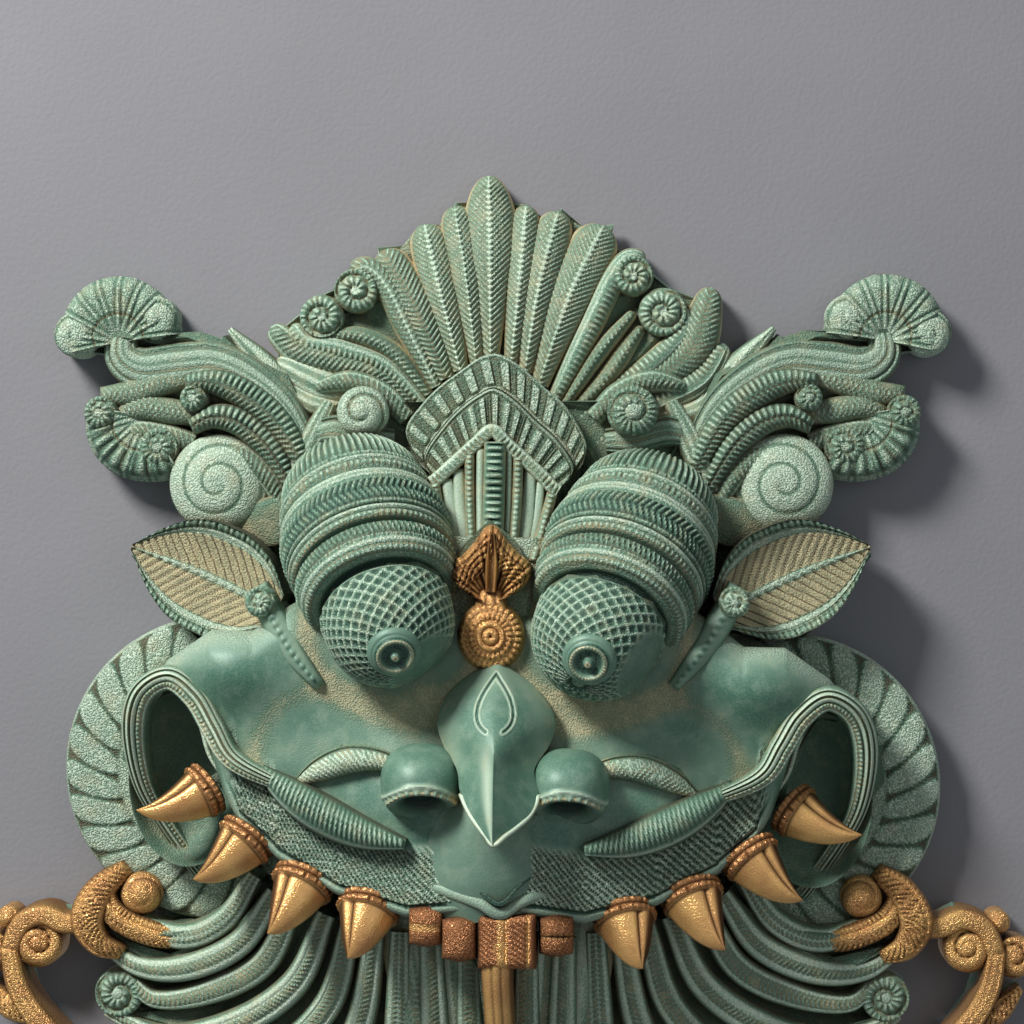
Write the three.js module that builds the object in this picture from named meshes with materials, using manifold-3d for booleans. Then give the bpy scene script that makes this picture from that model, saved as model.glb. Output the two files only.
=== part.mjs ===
// Kirtimukha wall mask: one hollow-backed casting that hangs flat on a wall.
// Millimetres. +X is the viewer's right, +Z is up, the face looks along -Y and the wall is the plane y = 0.
// The origin is on the flat back of the crest plate, where the mask hangs.
// Points are [x, z], and a depth is the distance out from the wall.
import * as THREE from "three";
import { mergeVertices } from "three/addons/utils/BufferGeometryUtils.js";
import Module from "manifold-3d";

const wasm = await Module();
wasm.setup();

// Driving dimensions
const FACE_HALF = 176; // centre line to the outside of a cheek
const NOSE_DEPTH = 128; // wall to the tip of the nose
const EYE_RADIUS = 31;
const CREST_DEPTH = 13; // back plate of the crest
const BLADE_DEPTH = 23; // ridge of a crest blade
const WING_DEPTH = 17; // back plate of a horn with its shells
const DISC = { centre: [141, -187], radius: 75, depth: 20, floor: 58 }; // behind each mouth corner
const BEARD_DEPTH = 14; // back plate of the beard
const WALL = 9; // thickness of the casting over the hollow
const ROOT = 6; // how deep in the back plates the relief is rooted
const LEAN = 0.03; // how far the mouth drops for each step towards +X
const SIDES = [-1, 1];

// A value read along a list of evenly spaced ones, at t from 0 to 1
function along(list, t) {
  if (!Array.isArray(list)) return list;
  const at = Math.min(Math.max(t, 0), 1) * (list.length - 1);
  const low = Math.min(Math.floor(at), list.length - 2);
  return list[low] + (list[low + 1] - list[low]) * (at - low);
}

// The same for a list of [position, value] pairs
function between(pairs, position) {
  const next = pairs.findIndex(([p]) => p >= position);
  if (next === 0) return pairs[0][1];
  if (next < 0) return pairs[pairs.length - 1][1];
  const [p0, v0] = pairs[next - 1];
  const [p1, v1] = pairs[next];
  return v0 + ((v1 - v0) * (position - p0)) / (p1 - p0);
}

const smooth = (low, high, v) => THREE.MathUtils.smoothstep(v, low, high);
const mirrored = (points, side) => points.map(([x, z]) => [x * side, z]);
const leaning = (points, side) => points.map(([x, z]) => [x * side, z - LEAN * x * side]);

// A closed three.js geometry as a solid that can be joined and cut, with its faces pointing out
function solid(geometry) {
  const bare = geometry.clone();
  bare.deleteAttribute("normal");
  bare.deleteAttribute("uv");
  const merged = mergeVertices(bare, 1e-3);
  const { array } = merged.attributes.position;
  const corner = (i) => new THREE.Vector3(array[3 * i], array[3 * i + 1], array[3 * i + 2]);
  const faces = [];
  let volume = 0;
  for (let i = 0; i < merged.index.count; i += 3) {
    const face = [0, 1, 2].map((k) => merged.index.getX(i + k));
    if (new Set(face).size < 3) continue;
    faces.push(face);
    const [a, b, c] = face.map(corner);
    volume += a.dot(b.cross(c));
  }
  if (volume < 0) faces.forEach((face) => face.reverse());
  return new wasm.Manifold(
    new wasm.Mesh({ numProp: 3, vertProperties: array, triVerts: new Uint32Array(faces.flat()) }),
  );
}

// A box of across by steps squares, each of whose points goes where place(s, t, h) says:
// s from -1 to 1 across, t from 0 to 1 along, h 0 on the back and 1 on the front
function carved(across, steps, place) {
  const box = new THREE.BoxGeometry(2, 1, 1, across, steps, 1);
  const points = box.attributes.position;
  for (let i = 0; i < points.count; i++) {
    points.setXYZ(i, ...place(points.getX(i), points.getY(i) + 0.5, points.getZ(i) + 0.5));
  }
  return solid(box);
}

// A smooth curve through a list of points
function curve(points) {
  const corners = points.map(([x, z]) => new THREE.Vector3(x, 0, z));
  return new THREE.CatmullRomCurve3(corners, false, "centripetal");
}

// A lock of relief along a path: its width, its ridge's depth and its back's depth (floor) are read
// along it, and its sides are lower than the ridge by drop. With across at 1 it has a flat top.
function lock(points, { width, ridge, drop = 7, floor = ROOT, across = 2, steps = points.length }) {
  const path = curve(points);
  return carved(across, steps, (s, t, h) => {
    const p = path.getPointAt(t);
    const d = path.getTangentAt(t);
    const reach = (s * along(width, t)) / 2;
    const depth = h ? along(ridge, t) - drop * s * s : along(floor, t);
    return [p.x + reach * d.z, -depth, p.z - reach * d.x];
  });
}

// Locks side by side as one pleated sheet: a ridge along each path, and between two of them a valley,
// lower by drop, that ends short of their tips. The paths run from left to right as seen from their roots.
function fan(paths, { ridge, drop = 6, edge = 6, short = 0.93, floor = ROOT, steps = 3 }) {
  const curves = paths.map(curve);
  return carved(2 * paths.length, steps, (s, t, h) => {
    const column = Math.round((s + 1) * paths.length);
    const valley = column % 2 === 0;
    const left = curves[Math.max(Math.ceil(column / 2) - 1, 0)];
    const right = curves[Math.min(Math.floor(column / 2), paths.length - 1)];
    const reach = valley ? t * short : t;
    const p = left.getPointAt(reach).lerp(right.getPointAt(reach), 0.5);
    const d = left.getTangentAt(reach);
    const out = valley && left === right ? (s * edge * (1 + 2 * Math.sin(Math.PI * t))) / 3 : 0;
    const depth = h ? along(ridge, t) - (valley ? drop : 0) : floor;
    return [p.x + out * d.z, -depth, p.z - out * d.x];
  });
}

// A flat outline raised from depth back to depth front
function slab(outline, front, back = 0) {
  const shape = new THREE.Shape(outline.map(([x, z]) => new THREE.Vector2(x, z)));
  const made = new THREE.ExtrudeGeometry(shape, { depth: front - back, bevelEnabled: false });
  return solid(made.rotateX(Math.PI / 2).translate(0, -back, 0));
}

// A round boss that narrows from its back to its front
function boss([x, z], wide, narrow, front, back = ROOT, sides = 10) {
  const made = new THREE.CylinderGeometry(wide, narrow, front - back, sides);
  return solid(made.translate(x, -(front + back) / 2, z));
}

// A scroll's end: a disc with a knob in its middle, or a raised turn of a spiral if it is large
const LARGE_SCROLL = 11;

function scroll([x, z], radius, depth, { start = 90, turn = 1 } = {}) {
  const rise = 3;
  const disc = boss([x, z], radius, 0.93 * radius, depth, ROOT, 8);
  const knob = boss([x, z], 0.45 * radius, 0.3 * radius, depth + rise, depth - 2, 6);
  if (radius < LARGE_SCROLL) return [disc, knob];
  const steps = 6;
  const points = [];
  for (let k = 0; k <= steps; k++) {
    const angle = THREE.MathUtils.degToRad(start + (turn * 330 * k) / steps);
    const r = radius * (0.79 - (0.45 * k) / steps);
    points.push([x + r * Math.cos(angle), z + r * Math.sin(angle)]);
  }
  const width = [0.42 * radius, 0.36 * radius, 0.24 * radius];
  const ridge = [depth + rise, depth + rise, depth + 0.8 * rise];
  return [disc, lock(points, { width, ridge, drop: 0, floor: depth - 2, across: 1, steps })];
}

// The crest: blades that fan out above the crown, each side with its own, and the scrolls below them
const BLADES = [
  [[-26, 8], [-40, 42], [-62, 76]],
  [[-21, 14], [-30, 50], [-41, 87]],
  [[-14, 18], [-18, 60], [-23, 98]],
  [[-5, 20], [-5, 70], [-6, 111]],
  [[5, 18], [9, 60], [13, 97]],
  [[12, 15], [19, 55], [30, 95]],
  [[20, 9], [34, 50], [56, 87]],
];
const CREST_SCROLLS = [
  { centre: [-72, 54], radius: 11, start: 90, turn: 1 },
  { centre: [-89, 41], radius: 10, start: 240, turn: -1 },
  { centre: [66, 60], radius: 10, start: 90, turn: -1 },
  { centre: [80, 43], radius: 12, start: -20, turn: 1 },
];
const LEFT_LOCKS = [
  [[-46, -16], [-68, 4], [-92, 8], [-113, 19]],
  [[-41, -9], [-60, 12], [-85, 20], [-115, 36]],
  [[-37, -2], [-56, 20], [-74, 31], [-90, 33]],
  [[-32, 5], [-44, 32], [-56, 54], [-67, 62]],
];
const RIGHT_LOCKS = [
  [[27, 2], [43, 35], [54, 57], [63, 68]],
  [[33, -8], [56, 12], [74, 26], [84, 38]],
  [[38, -16], [69, 6], [94, 24], [105, 55]],
  [[45, -24], [75, -4], [100, 6], [112, 22]],
];
const CREST_OUTLINE = [
  [-80, -60], [80, -60], [112, 2], [110, 24], [104, 48], [84, 56], [62, 74], [34, 80],
  [-6, 94], [-38, 76], [-62, 66], [-88, 54], [-113, 34], [-112, 8],
];

function crest() {
  const lower = { ridge: [19, 24, 24, 19], steps: 3 };
  return [
    slab(CREST_OUTLINE, CREST_DEPTH),
    fan(BLADES, { ridge: [20, BLADE_DEPTH, BLADE_DEPTH + 1, 21, 16], drop: 7, edge: 8, steps: 3 }),
    fan(LEFT_LOCKS, lower),
    fan(RIGHT_LOCKS, lower),
    ...CREST_SCROLLS.flatMap(({ centre, radius, ...way }) => scroll(centre, radius, 21, way)),
  ];
}

// The crown above the brow: two arches round a gabled door of tall panels, which run on between the eyes
const ARCHES = [
  {
    front: 30,
    outline: [
      [-46, -16], [-37, -2], [-28, 6], [-17, 14], [-9, 20], [-3, 22], [5, 20], [14, 13], [22, 5],
      [34, -5], [42, -22], [36, -60], [-40, -60],
    ],
  },
  {
    front: 38,
    outline: [
      [-36, -28], [-26, -13], [-17, -4], [-7, 2], [1, 3], [10, -3], [18, -11], [28, -21], [35, -32],
      [30, -70], [-34, -70],
    ],
  },
];
const GABLE = { front: 45, outline: [[-3, -15], [29, -43], [22, -80], [-27, -80], [-35, -39]] };
const DOORSTEP = { front: 58, outline: [[-27, -74], [22, -74], [18, -118], [-24, -118]] };
const DOOR_POST = [[-1, -24], [-1, -44], [-2, -66]];
const DOOR_SIDES = [
  [[-29, -40], [-26, -60], [-22, -80]],
  [[-14, -30], [-14, -50], [-12, -74]],
  [[10, -32], [9, -52], [6, -74]],
  [[25, -45], [21, -62], [17, -80]],
];

function crown() {
  const flat = { drop: 0, floor: 20, across: 1, steps: 2 };
  const post = (path, width, ridge) => lock(path, { width, ridge, ...flat });
  return [
    ...ARCHES.map(({ front, outline }) => slab(outline, front, ROOT)),
    slab(GABLE.outline, GABLE.front, 20),
    slab(DOORSTEP.outline, DOORSTEP.front, 20),
    post(DOOR_POST, [9, 10, 10], [49, 53, 60]),
    ...DOOR_SIDES.map((path) => post(path, [5, 5, 5], [48, 53, 61])),
  ];
}

// The gilt fan and rosette between the eyes
const FAN = [
  [-3, -58], [9, -69], [19, -86], [7, -93], [4, -104], [-10, -104], [-13, -93], [-25, -86], [-15, -69],
];
const ROSETTE = [-3, -113];

function browOrnament() {
  return [slab(FAN, 68, 20), boss(ROSETTE, 16.5, 14, 74, 20, 12), boss(ROSETTE, 8, 6, 78, 60, 8)];
}

// The eyes: each a ball at the end of a stack of rings turned round an axis that leans back, up and
// outwards, and a pupil that looks its own way. Rings are [radius, distance back from the ball's centre].
const EYES = [
  { centre: [-50, -82, -108], back: [-0.26, 0.63, 0.73], gaze: [0.16, -0.88, -0.45] },
  { centre: [48, -82, -114], back: [0.29, 0.64, 0.71], gaze: [-0.12, -0.93, -0.35] },
];
const RINGS = [
  [EYE_RADIUS, 0], [EYE_RADIUS + 1, 15], [EYE_RADIUS - 3, 19], [EYE_RADIUS + 4, 22], [EYE_RADIUS + 7, 32],
  [EYE_RADIUS + 10, 46], [EYE_RADIUS + 8, 60], [EYE_RADIUS + 6, 76], [EYE_RADIUS - 3, 96], [0, 103],
];

function eye({ centre, back, gaze }) {
  const up = new THREE.Vector3(0, 1, 0);
  const aim = (geometry, way) => {
    const turn = new THREE.Quaternion().setFromUnitVectors(up, new THREE.Vector3(...way).normalize());
    return solid(geometry.applyQuaternion(turn).translate(...centre));
  };
  const ball = [90, 60, 30].map((degrees) => {
    const a = THREE.MathUtils.degToRad(degrees);
    return [degrees < 90 ? EYE_RADIUS * Math.cos(a) : 0, -EYE_RADIUS * Math.sin(a)];
  });
  const profile = [...ball, ...RINGS].map((ring) => new THREE.Vector2(...ring));
  const pupil = new THREE.CylinderGeometry(10, 15, 9, 9).translate(0, EYE_RADIUS - 0.5, 0);
  return [aim(new THREE.LatheGeometry(profile, 12), back), aim(pupil, gaze)];
}

// The brow: the ground behind the eyes, with a small scroll above each
const BROW = [
  [-118, -120], [118, -120], [124, -84], [108, -30], [80, 0], [-80, 0], [-108, -30], [-124, -84],
];

function brow() {
  const knobs = SIDES.flatMap((side) => scroll([66 * side - 1, -7], 10, 38, { start: 90, turn: side }));
  return [slab(BROW, 26), ...knobs];
}

// A wing: the horn that runs out from the brow, the two shells at its end and the scroll below it
const WING = [
  [84, -40], [92, -12], [105, 7], [119, 18], [137, 33], [142, 25], [158, 30], [160, 43], [169, 54],
  [188, 61], [208, 56], [221, 42], [219, 27], [206, 21], [190, 22], [176, 14], [168, 5], [184, 2],
  [199, 1], [207, -13], [204, -28], [192, -38], [178, -42], [163, -43], [157, -60], [140, -68],
  [122, -64], [110, -78], [90, -74],
];
const HORN_LOCKS = [
  [[84, -30], [100, 0], [122, 21], [150, 30], [200, 33]],
  [[92, -30], [110, 0], [132, 13], [156, 19], [186, 24]],
  [[97, -34], [120, -6], [146, 4], [178, 5]],
  [[103, -41], [123, -18], [146, -7], [168, -12]],
  [[110, -49], [125, -31], [142, -20]],
];
const UPPER_SHELL = { centre: [193, 27], reach: 33, from: 155, to: 15, ribs: 5 };
const LOWER_SHELL = { centre: [172, -10], reach: 32, from: -5, to: -105, ribs: 4 };
const WING_SCROLLS = [
  { centre: [173, 38], radius: 9, depth: 25, start: 60, turn: 1 },
  { centre: [210, 30], radius: 9, depth: 24, start: 60, turn: -1 },
  { centre: [198, -7], radius: 8, depth: 24, start: 90, turn: 1 },
  { centre: [140, -45], radius: 22, depth: 26, start: 120, turn: 1 },
];

// The ribs of a shell, from its centre to its rim
function shell({ centre: [x, z], reach, from, to, ribs }, side) {
  const paths = [...Array(ribs).keys()].map((k) => {
    const angle = THREE.MathUtils.degToRad(from + ((to - from) * k) / (ribs - 1));
    const at = (r) => [x + r * Math.cos(angle), z + r * Math.sin(angle)];
    return mirrored([at(0.25 * reach), at(0.6 * reach), at(reach)], side);
  });
  return fan(side > 0 ? paths : paths.reverse(), { ridge: [24, 25, 20], drop: 5, steps: 2 });
}

// A list of scrolls on one side of the centre line
function scrolls(list, side) {
  return list.flatMap(({ centre: [x, z], radius, depth, start, turn }) =>
    scroll([x * side, z], radius, depth, { start: side > 0 ? start : 180 - start, turn: turn * side }),
  );
}

function wing(side) {
  const locks = HORN_LOCKS.map((path) => mirrored(path, side));
  return [
    slab(mirrored(WING, side), WING_DEPTH),
    fan(side > 0 ? locks : locks.reverse(), { ridge: [28, 30, 28, 26, 23], short: 0.97, steps: 3 }),
    shell(UPPER_SHELL, side),
    shell(LOWER_SHELL, side),
    ...scrolls(WING_SCROLLS, side),
  ];
}

// The face: cheeks and upper lip are one surface, which ends at the lip's edge and round the mouth's
// corners. Both edges are [distance from the centre line, height].
const LIP_EDGE = [
  [0, -243], [42, -249], [76, -241], [105, -226], [124, -210], [136, -197], [142, -181], [148, -160],
  [158, -151], [170, -152], [FACE_HALF, -158],
];
const FACE_TOP = [[0, -108], [30, -100], [60, -80], [100, -104], [137, -117], [160, -132], [FACE_HALF, -150]];
const FACE_ROUND = 14; // how much lower the face is at its edges

function faceDepth(x, z) {
  const a = Math.abs(x);
  const level = z + LEAN * x;
  const wide = Math.sqrt(Math.max(0, 1 - (a / (FACE_HALF + 10)) ** 3));
  const muzzle = 22 * Math.exp(-((a / 66) ** 2)) * (1 - smooth(-205, -150, level));
  const cheek = 13 * Math.exp(-(((a - 130) / 30) ** 2) - ((level + 135) / 20) ** 2);
  return 24 + 46 * wide + muzzle + cheek;
}

function face() {
  return carved(18, 5, (s, t, h) => {
    const x = s * FACE_HALF;
    const low = between(LIP_EDGE, Math.abs(x)) - LEAN * x;
    const high = between(FACE_TOP, Math.abs(x)) - LEAN * x;
    const z = low + (high - low) * t ** 1.2;
    const edge = t === 0 || t === 1 || Math.abs(s) === 1 ? FACE_ROUND : 0;
    return [x, h ? edge - faceDepth(x, z) : 0, z];
  });
}

// The disc behind each mouth corner, and the floor of the open mouth on it
function disc(side) {
  const [x, z] = DISC.centre;
  const rim = [];
  const corners = 26;
  for (let k = 0; k < corners; k++) {
    const angle = (2 * Math.PI * k) / corners;
    rim.push([x + DISC.radius * Math.cos(angle), z + DISC.radius * Math.sin(angle)]);
  }
  const drop = LEAN * x * side;
  const level = mirrored(rim, side).map(([px, pz]) => [px, pz - drop]);
  const floor = boss([x * side, z - drop], DISC.floor, DISC.floor - 4, DISC.depth + 6, ROOT, 12);
  return [slab(level, DISC.depth), floor];
}

// The rolled rim of the mouth's corner, the moustache and the leaf on the cheek
const LOOP = [
  [92, -192], [110, -186], [127, -177], [136, -163], [145, -148], [160, -141], [173, -148],
  [178, -168], [174, -196], [163, -216], [147, -240],
];
const MOUSTACHE = [[107, -184], [96, -197], [76, -206], [50, -212]];
const CHEEK_LEAF = [[47, -179], [66, -174], [84, -178], [97, -186]];

function cheek(side) {
  const on = (points) => leaning(points, side);
  const loop = { width: [5, 9, 12, 12, 11, 9], ridge: [70, 74, 68, 58, 42, 30], drop: 9, steps: 9 };
  return [
    lock(on(LOOP), loop),
    lock(on(MOUSTACHE), { width: [5, 13, 14, 6], ridge: [76, 90, 98, 94], drop: 8, floor: 40 }),
    lock(on(CHEEK_LEAF), { width: [4, 15, 14, 3], ridge: [84, 86, 82, 72], drop: 7, floor: 40 }),
  ];
}

// The nose: a keeled beak between two flared, hollow nostrils, above the furrowed lip
const NOSE_WING = { at: [35, -84, -185], half: [20, 26, 19] };
const NOSTRIL = { at: [36, -103, -195], half: [12, 24, 9] };
const NOSE_TOP = -125;
const NOSE_LENGTH = 82;
const LIP = [[0, -204], [0, -222], [0, -247]];

function nose() {
  const beak = carved(2, 6, (s, t, h) => {
    const down = 1 - t;
    const half = along([4, 17, 26, 27, 24, 15, 2], down);
    const ridge = along([72, 88, 101, 112, 121, 127, NOSE_DEPTH], down);
    const side = along([66, 76, 82, 88, 94, 108, NOSE_DEPTH - 3], down);
    return [s * half, h ? -(ridge + (side - ridge) * Math.abs(s)) : 0, NOSE_TOP - NOSE_LENGTH * down];
  });
  const ball = ({ at: [x, y, z], half }, side) =>
    solid(new THREE.SphereGeometry(1, 9, 5).scale(...half).translate(x * side, y, z - LEAN * x * side));
  const wings = SIDES.map((side) => ball(NOSE_WING, side).subtract(ball(NOSTRIL, side)));
  return [beak, ...wings, lock(LIP, { width: [38, 52, 60], ridge: [103, 99, 93], drop: 12 })];
}

// A fang: a bent cone with a collar round its base, from base to tip, each [x, depth, z]
const FANGS = [
  { base: [132, 44, -188], tip: [173, 58, -203], radius: 12 },
  { base: [113, 56, -216], tip: [141, 66, -235], radius: 12 },
  { base: [84, 60, -232], tip: [106, 78, -259], radius: 12 },
  { base: [51, 68, -240], tip: [61, 86, -271], radius: 11 },
];
const FANG_RADII = [1.15, 1.1, 0.8, 0.1]; // as shares of its radius, from the base on
const FRONT_TEETH = [-31, -20, 18, 29];

function fang({ base, tip, radius }, side) {
  const at = ([x, depth, z]) => new THREE.Vector3(x * side, -depth, z - LEAN * x * side);
  const [start, end] = [at(base), at(tip)];
  const middle = start.clone().lerp(end, 0.5).add(new THREE.Vector3(0, -5, -3));
  const path = new THREE.QuadraticBezierCurve3(start, middle, end);
  const cone = new THREE.CylinderGeometry(1, 1, 1, 6, FANG_RADII.length - 1);
  const points = cone.attributes.position;
  const turn = new THREE.Quaternion();
  const up = new THREE.Vector3(0, 1, 0);
  for (let i = 0; i < points.count; i++) {
    const t = points.getY(i) + 0.5;
    const r = radius * along(FANG_RADII, t);
    const offset = new THREE.Vector3(points.getX(i) * r, 0, points.getZ(i) * r);
    offset.applyQuaternion(turn.setFromUnitVectors(up, path.getTangent(t))).add(path.getPoint(t));
    points.setXYZ(i, ...offset);
  }
  return solid(cone);
}

function teeth() {
  const bar = [[-6, -246], [-2, -262], [-1, -290], [0, -326]];
  return [
    ...SIDES.flatMap((side) => FANGS.map((each) => fang(each, side))),
    ...FRONT_TEETH.map((x) => boss([x, -250], 5.5, 5, 92, 40, 6)),
    lock(bar, { width: [28, 17, 13, 5], ridge: [96, 92, 84, 62], drop: 5, floor: 30, steps: 3 }),
  ];
}

// An ear: a cupped leaf on a stalk that runs down beside the eye
const EAR = { base: [111, -104], tip: [182, -77], rim: [56, 52, 49, 46, 43, 40, 34], cup: 10 };
const EAR_STALK = [[113, -98], [102, -118], [86, -137]];

function ear(side) {
  const [bx, bz] = EAR.base;
  const [dx, dz] = [EAR.tip[0] - bx, EAR.tip[1] - bz];
  const length = Math.hypot(dx, dz);
  const leaf = carved(4, 5, (s, t, h) => {
    const off = (side * s * along([7, 20, 26, 26, 20, 10, 1], t)) / length;
    const front = along(EAR.rim, t) - EAR.cup * (1 - s * s) * Math.sin(Math.PI * Math.min(1, t + 0.1));
    const back = along([0, 0, 12, 22], t);
    return [side * (bx + dx * t + dz * off), -(h ? front : back), bz + dz * t - dx * off];
  });
  const stalk = lock(mirrored(EAR_STALK, side), { width: [14, 11, 6], ridge: [64, 74, 78], drop: 6 });
  return [leaf, stalk, boss([113 * side, -99], 11, 8, 68, ROOT, 8)];
}

// The beard: locks that fall from the lip and sweep outwards, the middle ones straight down
const BEARD = [
  [60, -225], [150, -228], [172, -262], [156, -282], [180, -288], [184, -322], [150, -346],
  [118, -368], [70, -386],
];
const BEARD_FOOT = [0, -392];
const BEARD_TAILS = [
  [[118, -234], [134, -256], [156, -266], [180, -259], [196, -245]],
  [[108, -240], [127, -266], [154, -280], [180, -280], [201, -265]],
];
const BEARD_LOCKS = [
  [[98, -244], [116, -276], [144, -293], [168, -298]],
  [[83, -250], [100, -285], [129, -307], [166, -315], [192, -304]],
  [[71, -254], [83, -295], [110, -322], [147, -337], [178, -334]],
  [[59, -256], [67, -302], [84, -336], [106, -362]],
  [[47, -258], [50, -312], [57, -351], [68, -380]],
  [[32, -260], [30, -322], [27, -388]],
];
const BEARD_SCROLLS = [
  { centre: [189, -294], radius: 12, depth: 24, start: -60, turn: 1 },
];

function beard() {
  const sides = SIDES.flatMap((side) => {
    const locks = BEARD_LOCKS.map((path) => mirrored(path, side));
    const tails = BEARD_TAILS.map((path) => mirrored(path, side));
    return [
      fan(side > 0 ? locks.reverse() : locks, { ridge: [56, 44, 35, 29, 21], drop: 8 }),
      fan(side > 0 ? tails.reverse() : tails, { ridge: [52, 42, 34, 30, 24], drop: 8 }),
      ...scrolls(BEARD_SCROLLS, side),
    ];
  });
  const throat = carved(4, 4, (s, t, h) => {
    const depth = along([20, 30, 42, 52, 60], t) - 8 * s * s;
    return [s * along([24, 36, 46, 56, 62], t), h ? -depth : -ROOT, -388 + 156 * t];
  });
  const half = [...BEARD].reverse();
  return [slab([...BEARD, BEARD_FOOT, ...mirrored(half, -1)], BEARD_DEPTH), throat, ...sides];
}

// A gilt side arm: hook, collar, volute and the bar that runs down and back to the beard
const ARM_COLLAR = [[186, -230], [199, -243], [202, -258], [188, -272]];
const ARM_HOOK = [[150, -262], [174, -262], [190, -254], [194, -243], [185, -233]];
const ARM_STEM = [[196, -256], [214, -259], [226, -254], [237, -260], [243, -274]];
const ARM_BAR = [[243, -272], [238, -292], [225, -311], [203, -330], [172, -344]];
const ARM_LEAF = [[228, -306], [243, -300], [256, -289]];
const ARM_SCROLLS = [
  { centre: [178, -244], radius: 9, depth: 30, start: 60, turn: 1 },
  { centre: [229, -269], radius: 12, depth: 26, start: 60, turn: -1 },
];

function arm(side) {
  const on = (path) => mirrored(path, side);
  const flat = { drop: 0, across: 1, steps: 4 };
  return [
    lock(on(ARM_HOOK), { width: [10, 13, 14, 13, 9], ridge: [26, 29, 30, 30, 28], ...flat }),
    lock(on(ARM_COLLAR), { width: [9, 16, 16, 8], ridge: [24, 33, 33, 24], drop: 4, steps: 2 }),
    lock(on(ARM_STEM), { width: [11, 12, 11, 11, 10], ridge: [27, 26, 26, 25, 24], ...flat }),
    lock(on(ARM_BAR), { width: [10, 12, 13, 13, 10], ridge: [26, 26, 25, 25, 22], floor: 0, steps: 4 }),
    lock(on(ARM_LEAF), { width: [7, 13, 4], ridge: [22, 23, 15], steps: 2 }),
    boss([253 * side, -274], 10, 8, 24, ROOT, 8),
    boss([244 * side, -257], 6, 4, 24, ROOT, 6),
    ...scrolls(ARM_SCROLLS, side),
  ];
}

// The hollow in the back: it stays a wall's thickness behind the face, with a pocket into the nose
const HOLLOW = { half: 122, rim: 12, deepest: 72 };

function hollow() {
  return carved(8, 5, (s, t, h) => {
    const x = s * HOLLOW.half;
    const low = between(LIP_EDGE, Math.abs(x)) - LEAN * x + HOLLOW.rim;
    const high = between(FACE_TOP, Math.abs(x)) - LEAN * x - HOLLOW.rim;
    const z = low + (high - low) * t;
    const pocket = 26 * Math.exp(-((x / 22) ** 2) - ((z + 172) / 30) ** 2);
    const edge = t === 0 || t === 1 || Math.abs(s) === 1 ? FACE_ROUND : 0;
    const depth = Math.min(faceDepth(x, z), HOLLOW.deepest) - WALL - edge + pocket;
    return [x, h ? -depth : 5, z];
  });
}

const joined = wasm.Manifold.union([
  ...crest(),
  ...crown(),
  ...browOrnament(),
  ...brow(),
  face(),
  ...nose(),
  ...teeth(),
  ...beard(),
  ...EYES.flatMap(eye),
  ...SIDES.flatMap((side) => [...wing(side), ...disc(side), ...cheek(side)]),
  ...SIDES.flatMap((side) => [...ear(side), ...arm(side)]),
]);

// Pockets of air that the parts close in are filled, as metal fills them in the mould
const cast = joined
  .subtract(hollow())
  .decompose()
  .reduce((most, body) => (body.volume() > most.volume() ? body : most));

const { vertProperties, triVerts } = cast.getMesh();
const geometry = new THREE.BufferGeometry();
geometry.setAttribute("position", new THREE.BufferAttribute(vertProperties, 3));
geometry.setIndex(new THREE.BufferAttribute(triVerts, 1));
geometry.computeVertexNormals();

const verdigris = new THREE.MeshStandardMaterial({ color: 0x6f9f8c, roughness: 0.6, metalness: 0.35 });
const mask = new THREE.Mesh(geometry, verdigris);
mask.name = "kirtimukha_mask";

const group = new THREE.Group();
group.add(mask);
export default group;
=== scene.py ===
"""Kirtimukha wall mask: the carved, patinated and gilt surfaces over the casting's plain form.

Lengths are millimetres until a mesh is made. X is the viewer's right, Z is up, the wall is the plane
Y = 0 and a depth is the distance out from it, along -Y. Every piece is made of closed surfaces worked
out as whole arrays: a profile carried along a path, one turned round an axis, a coil or a fan.
"""

import logging
import math
from dataclasses import dataclass
from enum import Enum
from typing import Callable, Iterable, Sequence

import bpy
import numpy as np
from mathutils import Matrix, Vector


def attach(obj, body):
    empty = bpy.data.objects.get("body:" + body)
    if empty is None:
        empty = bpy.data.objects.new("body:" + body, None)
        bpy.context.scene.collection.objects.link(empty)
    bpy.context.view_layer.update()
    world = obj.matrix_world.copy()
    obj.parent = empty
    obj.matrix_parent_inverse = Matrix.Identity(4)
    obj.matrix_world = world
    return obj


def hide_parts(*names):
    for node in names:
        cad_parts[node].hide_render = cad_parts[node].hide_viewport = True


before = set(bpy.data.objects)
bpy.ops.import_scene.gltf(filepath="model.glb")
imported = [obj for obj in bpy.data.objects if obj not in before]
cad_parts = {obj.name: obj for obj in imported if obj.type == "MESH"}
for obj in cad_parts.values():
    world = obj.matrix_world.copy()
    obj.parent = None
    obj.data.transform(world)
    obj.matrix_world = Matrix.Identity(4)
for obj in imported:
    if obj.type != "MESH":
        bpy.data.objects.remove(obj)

logging.basicConfig(level=logging.INFO, format="%(name)s: %(message)s")
LOG = logging.getLogger("mask")

NODE = "kirtimukha_mask"
BODY = "root"
Point = tuple[float, float]
Triple = tuple[float, float, float]
Values = Sequence[float]

# What a material reads at each point of a mesh.
VALUES = ("hollow", "dust", "polish", "grain")
# Metres in a millimetre.
MM = 0.001
# The viewer's left and right.
SIDES = (-1, 1)
# How far the mouth drops for each mm to the viewer's right.
LEAN = 0.03
# Every distance between two points of a surface is this many times the one stated with its shape.
GRID = 1.42
# How far behind a strand's edge the point that closes its side lies.
TUCK = 1.5
# Angle between two faces, in degrees, over which the edge between them is shown sharp.
CARVED_EDGE = 55
PLAIN_EDGE = 35


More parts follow.
